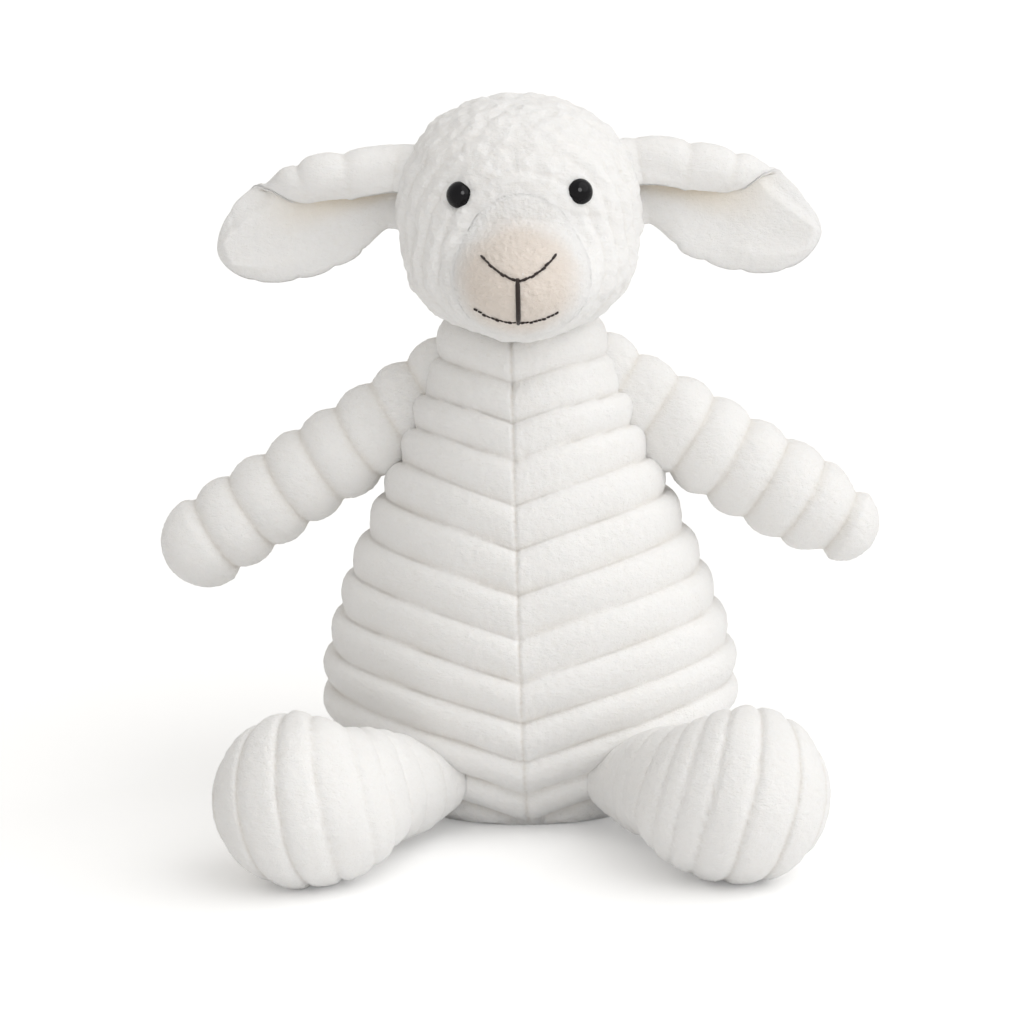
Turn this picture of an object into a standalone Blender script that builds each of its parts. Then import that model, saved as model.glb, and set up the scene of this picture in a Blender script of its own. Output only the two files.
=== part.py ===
"""A seated plush sheep: ribbed pile cloth over loose stuffing, with hinged limbs.

Metres, +Z up. The origin is the centre of the flat seat and the face looks along -Y.
Left and right are the sheep's own, so its right side lies at -X.
"""

import math

import bmesh
import bpy
import numpy as np

# Cloth, seams and clearances
PIECE_GAP = 0.0003
FILLING_GAP = 0.0007
SEAM_GAP = 0.0003
SEAM_DIP = 0.0012
RIM_STEP = 0.0003
MERGE_SHARE = 0.01
BODY_WALL = 0.0050
LIMB_WALL = 0.0036
HEAD_WALL = 0.0042
RIB_DEPTH = 0.0021
HEAD_RIB_DEPTH = 0.0013
RIB_SHARPNESS = 3
RIB_ROW_SHARES = (0.0, 0.17, 0.5, 0.83)
FINE_RIB_ROW_SHARES = (0.0, 0.25, 0.75)

# Body: a pear from the flat seat up to the round neck
BELLY_HALF_WIDTH = 0.0704
BELLY_HALF_DEPTH = 0.0605
BELLY_HEIGHT = 0.0367
BELLY_FULLNESS = 0.9
SEAT_HALF_WIDTH = 0.0450
SEAT_HALF_DEPTH = 0.0400
NECK_HEIGHT = 0.1470
NECK_FORWARD = 0.0040
NECK_RADIUS = 0.0310
NECK_OPENING_DEG = 42.0
NECK_COLUMNS = 20
NECK_CAP_SHARES = (0.0, 0.3, 0.65, 1.0)
NECK_BALL_SHARES = (0.0, 0.2, 0.4, 0.6, 0.8, 1.0)
NECK_CUT_COLUMNS = 32
NECK_CUT_ROWS = 16
BODY_TAPER_SHARES = (
    (0.0, 1.0), (0.11, 0.99), (0.22, 0.912), (0.33, 0.81), (0.44, 0.70), (0.54, 0.568),
    (0.65, 0.445), (0.75, 0.312), (0.86, 0.186), (0.95, 0.085), (1.0, 0.0),
)
BODY_COLUMN_SHARES = (0.0, 0.035, 0.14, 0.27, 0.40, 0.52, 0.65, 0.80, 0.965, 1.0)

# Body ribs: valleys step down from the neck, more steeply at the two centre seams
FRONT_TOP_VALLEY = 0.1625
FRONT_PITCH = 0.0135
SIDE_TOP_VALLEY = 0.1607
SIDE_PITCH = 0.01185
CHEVRON_TURN = 1.25
FIRST_BODY_RIB = -1
LAST_BODY_RIB = 14

# Seat panel, pellet bag and stuffing inside the body
SEAT_THICKNESS = 0.0032
SEAT_ROUNDING = 0.0010
SEAT_LIFT = 0.0006
PELLET_BAG_HEIGHT = 0.0150
PELLET_BAG_SPREAD = 0.0090
PELLET_BAG_ROW_SHARES = (0.0, 0.15, 0.5, 0.85, 1.0)
STUFFING_RIM = 0.0045
FLOOR_CLEARANCE = 0.0010
FIRST_STUFFED_RIB = 2
LAST_STUFFED_RIB = 10
SOCKET_SHARES = (0.0, 0.2, 0.4, 0.6, 0.79)
LEVEL_TRIES = 12
NECK_CLEARANCE = 0.0006
NECK_BALL_CLEARANCE = 0.0018
NECK_SOCKET_CLEARANCE = 0.0013

# Head: a ball with full cheeks and a muzzle, ribbed in rings round the face
HEAD_HEIGHT = 0.1995
HEAD_FORWARD = 0.0120
HEAD_TURN_DEG = 3.0
HEAD_RADIUS = 0.0402
CHEEK_HALF_SIZES = (0.0368, 0.0335, 0.0232)
CHEEK_FORWARD = 0.0245
CHEEK_HEIGHT = 0.1852
MUZZLE_HALF_SIZES = (0.0250, 0.0355, 0.0198)
MUZZLE_FORWARD = 0.0420
MUZZLE_HEIGHT = 0.1825
HEAD_BLEND = 0.0060
FACE_TILT_DEG = 10.0
MUZZLE_PANEL_DEG = 26.0
HEAD_RIB_DEG = 11.0
HEAD_COLUMN_SHARES = (0.0, 0.05, 0.19, 0.34, 0.50, 0.66, 0.81, 0.95, 1.0)
MUZZLE_RING_SHARES = (0.22, 0.45, 0.68, 0.88, 1.0)

# Eyes: domed safety eyes with a shank and a locking washer inside the head
EYE_RADIUS = 0.0042
EYE_RISE = 0.0036
EYE_SINK = 0.0016
EYE_SIDE = 0.0206
EYE_AHEAD = 0.0340
EYE_ABOVE = 0.0112
EYE_SHANK_RADIUS = 0.0014
EYE_SHANK_LENGTH = 0.0080
WASHER_RADIUS = 0.0050
WASHER_THICKNESS = 0.0012
EYE_COLUMNS = 12
EYE_DOME_SHARES = (1.0, 0.76, 0.51, 0.25, 0.0)

# Face stitching: one thread for the nose and cleft, one for the mouth
THREAD_RADIUS = 0.0005
CLEFT_THREAD_RADIUS = 0.0008
NOSE_HALF_WIDTH = 0.0120
NOSE_END_HEIGHT = 0.1950
NOSE_VERTEX_HEIGHT = 0.1874
MOUTH_HALF_WIDTH = 0.0140
MOUTH_END_HEIGHT = 0.1765
MOUTH_MIDDLE_HEIGHT = 0.1722
THREAD_CLEARANCE = 0.0007
THREAD_POINTS = 9
THREAD_CORNERS = 6
CLEFT_POINTS = 6
NOSE_CURVE = 1.3
MOUTH_CURVE = 2.0
HALVINGS = 40

# Ears: ribbed cloth behind, smooth lining in front, the upper edge rolled forward
EAR_LENGTH = 0.0608
EAR_HALF_WIDTH = 0.0187
EAR_ROOT_BACK = 0.0080
EAR_ROOT_ABOVE = 0.0068
EAR_DROOP_DEG = {"right": 19.5, "left": 17.0}
EAR_BACK_THICKNESS = 0.0030
EAR_LINING_THICKNESS = 0.0017
EAR_BUTT_SHARE = 0.9
EAR_SINK = 0.0002
EAR_ROOT_LEAN = 0.62
EAR_LEAN_SHARE = 0.2
EAR_ROLL_RADIUS = 0.0055
EAR_ROLL_START_RADIUS = 0.0036
EAR_FLAP = 0.0060
EAR_CUP = 0.0040
EAR_TURN_SHARE = 0.35
EAR_OPENING_SHARE = 0.25
EAR_CUP_SHARE = 0.3
EAR_FLAP_SHARE = 0.2
EAR_RIBS = 6
EAR_SCALLOP = 0.0010
EAR_WIDTH_SHARES = (
    (0.0, 0.76), (0.1, 0.89), (0.2, 0.95), (0.35, 1.0), (0.5, 1.0), (0.65, 0.965),
    (0.8, 0.83), (0.9, 0.63), (0.97, 0.36), (1.0, 0.12),
)
EAR_ROLL_SHARES = ((0.0, 1.0), (0.42, 1.0), (0.62, 0.55), (0.8, 0.25), (1.0, 0.1))
EAR_FLAT_SHARES = (-1.0, -0.4, 0.3)
EAR_ROLL_TURNS = (0.0, 0.33, 0.66, 1.0)

# Arms: straight ribbed tubes cut off aslant at the shoulder seam
ARM_RADIUS = {"right": 0.0160, "left": 0.0170}
ARM_TIP_RADIUS = {"right": 0.0156, "left": 0.0132}
ARM_LENGTH = {"right": 0.0820, "left": 0.0770}
ARM_NARROWING_LENGTH = 0.0150
SHOULDER_TOP_HEIGHT = 0.1530
SHOULDER_BOTTOM_HEIGHT = 0.1105
ARM_DROP_DEG = {"right": 32.5, "left": 31.5}
ARM_FIRST_VALLEY = 0.0035
ARM_PITCH = 0.0144
ARM_RIBS_BEFORE = 2
ARM_RIBS_AFTER = 5
ARM_TAPER_LENGTH = 0.0250
ARM_COLUMN_SHARES = (0.0, 0.07, 0.25, 0.5, 0.75, 1.0)
ARM_TIP_SHARES = (
    (0.0, 1.0), (0.2, 0.2), (0.5, 0.0), (0.75, 0.0), (0.9, 0.0), (0.97, 0.0), (1.0, 0.0),
)
HINGE_EDGE = 0.0015
ROOT_ROW_SHARE = -0.8
THINNING_SHARE = 0.7

# Legs: tubes that bend outwards and swell into round feet
HIP_SIDE_DEG = 29.0
HIP_HEIGHT = 0.0235
HIP_SINK = 0.0011
LEG_HALF_WIDTH = 0.0203
LEG_TAPER_LENGTH = 0.0270
FOOT_RADIUS = 0.0280
FOOT_SIDE = 0.0684
FOOT_FORWARD = 0.0970
FOOT_SINK = 0.0005
FOOT_POINT_DEG = 17.0
LEG_START_REACH = 0.0220
LEG_END_REACH = 0.0220
LEG_RIBS = 9
LEG_COLUMNS = 14
LEG_RING_SHARES = ((0.0, 0.0), (0.3, 0.16), (0.6, 0.56), (0.85, 0.93), (1.0, 1.0))
LEG_CORE_START_SHARE = 0.2
LEG_SPAN = 1.95
FOOT_END_RIB_SHARE = 0.4

# Tail: a small flat drop on the centre back seam
TAIL_HEIGHT = 0.0440
TAIL_SINK = 0.0010
TAIL_LENGTH = 0.0260
TAIL_HALF_WIDTH = 0.0085
TAIL_HALF_THICKNESS = 0.0060
TAIL_DROP_DEG = 48.0
TAIL_WALL = 0.0022
TAIL_COLUMNS = 10
TAIL_ROUND_SHARE = 0.6
TAIL_ROW_SHARES = (0.0, 0.2, 0.4, 0.6, 0.8, 0.93, 1.0)
TAIL_CORE_SHARES = (0.35, 0.5, 0.65, 0.8, 0.93, 1.0)

SIDES = {"right": -1.0, "left": 1.0}
WHITE_PLUSH = (0.86, 0.85, 0.82)
SMOOTH_LINING = (0.84, 0.81, 0.76)
MUZZLE_BEIGE = (0.80, 0.72, 0.65)
FIBRE_FILL = (0.90, 0.90, 0.88)
LINER_CLOTH = (0.78, 0.78, 0.75)
BLACK_PLASTIC = (0.012, 0.012, 0.014)
CLEAR_PLASTIC = (0.55, 0.55, 0.52)
DARK_THREAD = (0.045, 0.030, 0.026)
CLOTH_ROUGHNESS = 0.9
THREAD_ROUGHNESS = 0.7
WASHER_ROUGHNESS = 0.35
EYE_ROUGHNESS = 0.08


# Small sums used by several pieces
def vector(x, y, z):
    return np.array((x, y, z), dtype=float)


def unit(direction):
    return direction / np.linalg.norm(direction)


def eased(share):
    """A share from 0 to 1 with a soft start and a soft end."""
    share = min(max(share, 0.0), 1.0)
    return share * share * (3.0 - 2.0 * share)


def share_between(value, low, high):
    return min(max((value - low) / (high - low), 0.0), 1.0)


def curve_at(pairs, at):
    """Reads a smooth curve through pairs of place and value."""
    places, values = np.array(pairs).T
    slopes = np.gradient(values, places)
    at = min(max(at, places[0]), places[-1])
    low = min(int(np.searchsorted(places, at, side="right")) - 1, len(places) - 2)
    width = places[low + 1] - places[low]
    step = (at - places[low]) / width
    return (
        values[low] * (1.0 + 2.0 * step) * (1.0 - step) ** 2
        + slopes[low] * width * step * (1.0 - step) ** 2
        + values[low + 1] * step * step * (3.0 - 2.0 * step)
        + slopes[low + 1] * width * step * step * (step - 1.0)
    )


def rib_valley(phase):
    """How far down between two ribs a place lies: 1 in the valley, 0 on the crest."""
    return abs(2.0 * (phase % 1.0) - 1.0) ** RIB_SHARPNESS


def soft_max(first, second, blend):
    """The larger of two lengths, rounded over where they are alike."""
    overlap = max(blend - abs(first - second), 0.0)
    return max(first, second) + overlap * overlap / (4.0 * blend)


# Objects, meshes and joints
def clear_scene():
    for item in list(bpy.data.objects):
        bpy.data.objects.remove(item, do_unlink=True)


def finish(name, colour, roughness):
    material = bpy.data.materials.new(name)
    material.use_nodes = True
    shader = material.node_tree.nodes["Principled BSDF"]
    shader.inputs["Base Color"].default_value = (*colour, 1.0)
    shader.inputs["Roughness"].default_value = roughness
    shader.inputs["Metallic"].default_value = 0.0
    return material


def add_joint(name, place, parent=None):
    """An empty on a joint's axis, which carries the pieces that move there."""
    empty = bpy.data.objects.new(name, None)
    empty["place"] = tuple(place)
    start = parent["place"] if parent else (0.0, 0.0, 0.0)
    empty.location = [a - b for a, b in zip(place, start)]
    empty.parent = parent
    bpy.context.collection.objects.link(empty)
    return empty


def add_piece(name, points, faces, joint, colour, roughness=CLOTH_ROUGHNESS):
    """One named solid from points in the sheep's frame, hung on its joint's empty."""
    shape = bmesh.new()
    origin = vector(*joint["place"])
    corners = [shape.verts.new(point - origin) for point in points]
    for face in faces:
        shape.faces.new([corners[index] for index in face])
    bmesh.ops.remove_doubles(shape, verts=shape.verts, dist=SEAM_GAP * MERGE_SHARE)
    bmesh.ops.recalc_face_normals(shape, faces=shape.faces)
    mesh = bpy.data.meshes.new(name)
    shape.to_mesh(mesh)
    shape.free()
    mesh.materials.append(finish(name, colour, roughness))
    mesh.shade_smooth()
    piece = bpy.data.objects.new(name, mesh)
    piece.parent = joint
    bpy.context.collection.objects.link(piece)
    return piece


def cut_with(piece, cutter, name):
    """Takes a cutter's shape out of a piece."""
    cut = piece.modifiers.new(name, "BOOLEAN")
    cut.operation = "DIFFERENCE"
    cut.solver = "EXACT"
    cut.object = cutter


def hide_cutter(cutter):
    cutter.hide_render = True
    cutter.display_type = "WIRE"


def halves(corners, flipped=False):
    """Two triangles for a four-cornered face, cut from its first corner or its second."""
    first, second, third, fourth = corners
    if flipped:
        return [(second, third, fourth), (second, fourth, first)]
    return [(first, second, third), (first, third, fourth)]


def open_faces(points, faces):
    """The faces left when corners that lie on one another are counted once."""
    kept = []
    for face in faces:
        corners = []
        for index in face:
            if not corners or not np.allclose(points[index], points[corners[-1]], atol=1e-9):
                corners.append(index)
        if len(corners) > 2 and np.allclose(points[corners[0]], points[corners[-1]], atol=1e-9):
            corners.pop()
        if len(corners) > 2:
            kept.append(tuple(corners))
    return kept


def ring_faces(rings, first_inside, closed=False):
    """Faces from ring to ring; the cut is mirrored on the second half and on the inside."""
    count = len(rings[0])
    faces = []
    for row in range(len(rings) if closed else len(rings) - 1):
        after = (row + 1) % len(rings)
        for column in range(count):
            beside = (column + 1) % count
            corners = (row * count + column, row * count + beside,
                       after * count + beside, after * count + column)
            faces += halves(corners, (column >= count // 2) != (row >= first_inside))
    return faces


def ring_solid(name, rings, joint, colour, roughness=CLOTH_ROUGHNESS):
    """A solid through closed rings of equal count, whose first and last close it."""
    count = len(rings[0])
    points = [point for ring in rings for point in ring]
    faces = ring_faces(rings, len(rings))
    faces.append(tuple(range(count)))
    faces.append(tuple((len(rings) - 1) * count + column for column in range(count)))
    return add_piece(name, points, open_faces(points, faces), joint, colour, roughness)


def ring_loop(name, outside, inside, joint, colour):
    """A hollow piece through rings that lead from its mouth, round it and back inside."""
    rings = outside + inside
    points = [point for ring in rings for point in ring]
    faces = ring_faces(rings, len(outside), closed=True)
    return add_piece(name, points, open_faces(points, faces), joint, colour)


def panel_shell(name, outer, inner, stride, joint, colour, roughness=CLOTH_ROUGHNESS):
    """A cloth panel: an outer grid of rows, and an inner one with a row per stride."""
    columns = len(outer[0])
    points = [point for row in outer for point in row]
    first_inner = len(points)
    points += [point for row in inner for point in row]

    def at_outer(row, column):
        return row * columns + column

    def at_inner(row, column):
        return first_inner + row * columns + column

    faces = []
    for row in range(len(outer) - 1):
        for column in range(columns - 1):
            faces += halves((
                at_outer(row, column), at_outer(row, column + 1),
                at_outer(row + 1, column + 1), at_outer(row + 1, column),
            ))
    for row in range(len(inner) - 1):
        for column in range(columns - 1):
            faces += halves((
                at_inner(row + 1, column), at_inner(row + 1, column + 1),
                at_inner(row, column + 1), at_inner(row, column),
            ), flipped=True)
        for column in (0, columns - 1):
            edge = [at_outer(step, column) for step in range(row * stride, (row + 1) * stride + 1)]
            edge += [at_inner(row + 1, column), at_inner(row, column)]
            faces.append(tuple(edge))
    for row, inside in ((0, 0), (len(outer) - 1, len(inner) - 1)):
        for column in range(columns - 1):
            faces.append((
                at_outer(row, column), at_outer(row, column + 1),
                at_inner(inside, column + 1), at_inner(inside, column),
            ))
    return add_piece(name, points, open_faces(points, faces), joint, colour, roughness)


def turned_rings(profile, centre, axis, columns):
    """Rings of a turned piece, from its pairs of radius and place along the axis."""
    across = unit(np.cross(axis, vector(0.0, 0.6, 0.8)))
    beside = np.cross(axis, across)
    rings = []
    for radius, along in profile:
        ring = []
        for column in range(columns):
            turn = 2.0 * math.pi * column / columns
            ring.append(centre + axis * along
                        + radius * (math.cos(turn) * across + math.sin(turn) * beside))
        rings.append(ring)
    return rings


# Body skin
def body_section(height):
    """Half-width and half-depth over the rib crests at a height."""
    if height >= NECK_HEIGHT:
        radius = math.sqrt(max(NECK_RADIUS ** 2 - (height - NECK_HEIGHT) ** 2, 0.0))
        return radius, radius
    if height >= BELLY_HEIGHT:
        swell = curve_at(BODY_TAPER_SHARES, share_between(height, BELLY_HEIGHT, NECK_HEIGHT))
        low_width, low_depth = NECK_RADIUS, NECK_RADIUS
    else:
        swell = (1.0 - (1.0 - max(height, 0.0) / BELLY_HEIGHT) ** 2) ** BELLY_FULLNESS
        low_width, low_depth = SEAT_HALF_WIDTH, SEAT_HALF_DEPTH
    return (
        low_width + (BELLY_HALF_WIDTH - low_width) * swell,
        low_depth + (BELLY_HALF_DEPTH - low_depth) * swell,
    )


def body_point(height, turn, inset):
    """A place on the body, turn 0 at the front seam and pi at the back, sunk by inset."""
    half_width, half_depth = body_section(height)
    if height >= NECK_HEIGHT:
        lean = (height - NECK_HEIGHT) / NECK_RADIUS
    else:
        above = body_section(min(height + RIM_STEP, NECK_HEIGHT))[0]
        below = body_section(max(height - RIM_STEP, 0.0))[0]
        slope = (below - above) / (2.0 * RIM_STEP)
        lean = slope / math.hypot(1.0, slope)
    outward = math.sqrt(max(1.0 - lean * lean, 0.0))
    forward = NECK_FORWARD * share_between(height, BELLY_HEIGHT, NECK_HEIGHT)
    return vector(
        (half_width - inset * outward) * math.sin(turn),
        -forward - (half_depth - inset * outward) * math.cos(turn),
        height - inset * lean,
    )


def body_rib_line(turn):
    """Height of the top valley, and the step from rib to rib, at a turn round the body."""
    from_seam = min(turn, math.pi - turn)
    rise = math.sin(CHEVRON_TURN * from_seam) / math.sin(CHEVRON_TURN * math.pi / 2.0)
    top = FRONT_TOP_VALLEY + (SIDE_TOP_VALLEY - FRONT_TOP_VALLEY) * rise
    pitch = FRONT_PITCH + (SIDE_PITCH - FRONT_PITCH) * rise
    return top, pitch


def add_body_panel(name, side, joint):
    """Half of the body skin, from the front seam round to the back seam."""
    counts = [rib + share for rib in range(FIRST_BODY_RIB, LAST_BODY_RIB)
              for share in RIB_ROW_SHARES] + [float(LAST_BODY_RIB)]
    top_height = NECK_HEIGHT + NECK_RADIUS * math.cos(math.radians(NECK_OPENING_DEG))
    outer, inner = [], []
    for row, count in enumerate(counts):
        outer_row, inner_row = [], []
        for share in BODY_COLUMN_SHARES:
            turn = share * math.pi
            top, pitch = body_rib_line(turn)
            height = min(top - pitch * count, top_height - RIM_STEP * row)
            height = max(height, SEAT_LIFT + RIM_STEP * (len(counts) - 1 - row))
            sunk = RIB_DEPTH * rib_valley((top - height) / pitch)
            at_seam = share in (0.0, 1.0)
            sideways = vector(side, 1.0, 1.0)
            off_seam = vector(side * SEAM_GAP / 2.0, 0.0, 0.0)
            outer_row.append(
                body_point(height, turn, sunk + SEAM_DIP * at_seam) * sideways + off_seam)
            inner_row.append(body_point(height, turn, BODY_WALL) * sideways + off_seam)
        outer.append(outer_row)
        if row % len(RIB_ROW_SHARES) == 0:
            inner.append(inner_row)
    return panel_shell(name, outer, inner, len(RIB_ROW_SHARES), joint, WHITE_PLUSH)


def both_sides(shares):
    """Turns for a full ring whose columns line up with the panels' columns."""
    half = [share * math.pi for share in shares]
    return half + [-turn for turn in half[-2:0:-1]]


def rib_ring(rib, inset):
    """A ring along the valley above a rib, sunk by inset from the crests."""
    ring = []
    for turn in both_sides(BODY_COLUMN_SHARES):
        top, pitch = body_rib_line(abs(turn))
        ring.append(body_point(top - pitch * rib, turn, inset))
    return ring


def body_ring(level, inset):
    """A level ring inside the body skin, sunk by inset from the rib crests."""
    height = level
    for _ in range(LEVEL_TRIES):
        height += level - body_point(height, 0.0, inset)[2]
    return [body_point(height, turn, inset) for turn in both_sides(BODY_COLUMN_SHARES)]


def oval_ring(half_width, half_depth, height, forward=0.0):
    """A level oval ring with the body panels' columns."""
    return [vector(half_width * math.sin(turn), -forward - half_depth * math.cos(turn), height)
            for turn in both_sides(BODY_COLUMN_SHARES)]


def add_seat(joint):
    """The flat panel that closes the body underneath."""
    half_width = SEAT_HALF_WIDTH - BODY_WALL - PIECE_GAP
    half_depth = SEAT_HALF_DEPTH - BODY_WALL - PIECE_GAP
    rings = [
        oval_ring(0.0, 0.0, 0.0),
        oval_ring(half_width - SEAT_ROUNDING, half_depth - SEAT_ROUNDING, 0.0),
        oval_ring(half_width, half_depth, SEAT_ROUNDING),
        oval_ring(half_width, half_depth, SEAT_THICKNESS),
        oval_ring(0.0, 0.0, SEAT_THICKNESS),
    ]
    ring_solid("seat_panel", rings, joint, WHITE_PLUSH)


def add_body_fillings(joint):
    """The pellet bag on the seat, and the fibre stuffing above it with its neck socket."""
    low = SEAT_THICKNESS + PIECE_GAP
    half_width = SEAT_HALF_WIDTH - BODY_WALL - SEAT_THICKNESS
    half_depth = SEAT_HALF_DEPTH - BODY_WALL - SEAT_THICKNESS
    rings = [oval_ring(0.0, 0.0, low)]
    for share in PELLET_BAG_ROW_SHARES:
        spread = PELLET_BAG_SPREAD * math.sqrt(math.sin(math.pi * share))
        rings.append(oval_ring(half_width + spread, half_depth + spread,
                               low + PELLET_BAG_HEIGHT * share))
    rings.append(oval_ring(0.0, 0.0, low + PELLET_BAG_HEIGHT))
    ring_solid("seat_pellet_bag", rings, joint, LINER_CLOTH)

    low += PELLET_BAG_HEIGHT + PIECE_GAP
    inset = BODY_WALL + FILLING_GAP
    socket = NECK_RADIUS - BODY_WALL - NECK_BALL_CLEARANCE + NECK_SOCKET_CLEARANCE
    rings = []
    for share in SOCKET_SHARES:
        turn = share * math.pi / 2.0
        radius = socket * math.sin(turn)
        rings.append(oval_ring(radius, radius, NECK_HEIGHT - socket * math.cos(turn),
                               NECK_FORWARD))
    rings.append(body_ring(NECK_HEIGHT - STUFFING_RIM, inset))
    rings += [rib_ring(rib, inset) for rib in range(FIRST_STUFFED_RIB, LAST_STUFFED_RIB + 1)]
    rings += [body_ring(low, inset + FLOOR_CLEARANCE), oval_ring(0.0, 0.0, low)]
    ring_solid("body_stuffing", rings, joint, FIBRE_FILL)


# Neck: the plug of stuffing that joins head and body
def add_neck(joint):
    centre = vector(0.0, -NECK_FORWARD, NECK_HEIGHT)
    ball = NECK_RADIUS - BODY_WALL - NECK_BALL_CLEARANCE
    cap = NECK_RADIUS
    opening = math.radians(NECK_OPENING_DEG) - NECK_CLEARANCE / ball
    profile = [(cap * math.sin(opening * share), cap * math.cos(opening * share))
               for share in NECK_CAP_SHARES]
    for share in NECK_BALL_SHARES:
        turn = opening + (math.pi - opening) * share
        profile.append((ball * math.sin(turn), ball * math.cos(turn)))
    rings = turned_rings(profile, centre, vector(0.0, 0.0, 1.0), NECK_COLUMNS)
    ring_solid("neck_stuffing", rings, joint, FIBRE_FILL)


# Head skin
HEAD_CENTRE = vector(0.0, -HEAD_FORWARD, HEAD_HEIGHT)


def reach_of_swelling(direction, centre, half_sizes):
    """How far a swelling reaches from the head's centre, or 0 where it is missed."""
    half_sizes = np.array(half_sizes)
    ray = direction / half_sizes
    start = (centre - HEAD_CENTRE) / half_sizes
    along = ray @ start
    inside = along * along - (ray @ ray) * (start @ start - 1.0)
    if inside <= 0.0:
        return 0.0
    return (along + math.sqrt(inside)) / (ray @ ray)


def head_reach(direction):
    """Distance from the head's centre to its rib crests along a direction."""
    cheeks = reach_of_swelling(
        direction, vector(0.0, -CHEEK_FORWARD, CHEEK_HEIGHT), CHEEK_HALF_SIZES)
    muzzle = reach_of_swelling(
        direction, vector(0.0, -MUZZLE_FORWARD, MUZZLE_HEIGHT), MUZZLE_HALF_SIZES)
    return soft_max(soft_max(HEAD_RADIUS, cheeks, HEAD_BLEND), muzzle, HEAD_BLEND)


def head_direction(away, round_face):
    """A direction at an angle away from the face's axis, turned round it from the top."""
    tilt = math.radians(FACE_TILT_DEG)
    ahead = vector(0.0, -math.cos(tilt), -math.sin(tilt))
    upward = vector(0.0, -math.sin(tilt), math.cos(tilt))
    sideways = vector(1.0, 0.0, 0.0)
    around = math.cos(round_face) * upward + math.sin(round_face) * sideways
    return math.cos(away) * ahead + math.sin(away) * around


def head_rib_count():
    return round((180.0 - MUZZLE_PANEL_DEG) / HEAD_RIB_DEG)


def head_point(away, round_face, inset):
    direction = head_direction(away, round_face)
    return HEAD_CENTRE + direction * (head_reach(direction) - inset)


def add_head_panel(name, side, joint):
    """Half of the ribbed head skin, from the muzzle panel back to the nape."""
    first = math.radians(MUZZLE_PANEL_DEG)
    ribs = head_rib_count()
    counts = [rib + share for rib in range(ribs) for share in FINE_RIB_ROW_SHARES]
    counts.append(float(ribs))
    outer, inner = [], []
    for row, count in enumerate(counts):
        away = first + (math.pi - first) * count / ribs
        outer_row, inner_row = [], []
        for share in HEAD_COLUMN_SHARES:
            at_seam = share in (0.0, 1.0) and count < ribs
            sunk = HEAD_RIB_DEPTH * rib_valley(count) + SEAM_DIP / 2.0 * at_seam
            sideways = vector(side, 1.0, 1.0)
            off_seam = vector(side * SEAM_GAP / 2.0, 0.0, 0.0)
            outer_row.append(head_point(away, share * math.pi, sunk) * sideways + off_seam)
            inner_row.append(head_point(away, share * math.pi, HEAD_WALL) * sideways + off_seam)
        outer.append(outer_row)
        if row % len(FINE_RIB_ROW_SHARES) == 0:
            inner.append(inner_row)
    return panel_shell(name, outer, inner, len(FINE_RIB_ROW_SHARES), joint, WHITE_PLUSH)


def muzzle_edge():
    return math.radians(MUZZLE_PANEL_DEG) - 1.5 * SEAM_GAP / HEAD_RADIUS


def add_muzzle(joint):
    """The smooth panel over nose, mouth and chin."""
    edge = muzzle_edge()
    turns = both_sides(HEAD_COLUMN_SHARES)
    inside = [[head_point(edge * share, turn, HEAD_WALL) for turn in turns]
              for share in (0.0,) + MUZZLE_RING_SHARES]
    outside = [[head_point(edge * share, turn, HEAD_RIB_DEPTH) for turn in turns]
               for share in reversed((0.0,) + MUZZLE_RING_SHARES)]
    return ring_solid("muzzle_panel", inside + outside, joint, MUZZLE_BEIGE)


def add_head_stuffing(joint):
    """Fibre that fills the head behind its panels."""
    first = math.radians(MUZZLE_PANEL_DEG)
    ribs = head_rib_count()
    turns_away = [muzzle_edge() * share for share in (0.0,) + MUZZLE_RING_SHARES]
    turns_away += [first + (math.pi - first) * rib / ribs
                   for rib in range(1, ribs + 1) if rib == 1 or rib % 2 == 0]
    turns = both_sides(HEAD_COLUMN_SHARES)
    rings = [[head_point(away, turn, HEAD_WALL + FILLING_GAP) for turn in turns]
             for away in turns_away]
    return ring_solid("head_stuffing", rings, joint, FIBRE_FILL)


def add_neck_cutter(joint):
    """The round space that keeps the head clear of the neck as it turns and nods."""
    radius = NECK_RADIUS + NECK_CLEARANCE
    turns = [math.pi * row / NECK_CUT_ROWS for row in range(NECK_CUT_ROWS + 1)]
    profile = [(radius * math.sin(turn), radius * math.cos(turn)) for turn in turns]
    centre = vector(0.0, -NECK_FORWARD, NECK_HEIGHT)
    rings = turned_rings(profile, centre, vector(0.0, 0.0, 1.0), NECK_CUT_COLUMNS)
    cutter = ring_solid("neck_clearance", rings, joint, FIBRE_FILL)
    hide_cutter(cutter)
    return cutter


# Eyes
def eye_place(side):
    """The middle of an eye's flat back, and the way the eye looks."""
    outward = unit(vector(side * EYE_SIDE, -EYE_AHEAD, EYE_ABOVE))
    return HEAD_CENTRE + outward * (head_reach(outward) - EYE_SINK), outward


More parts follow.
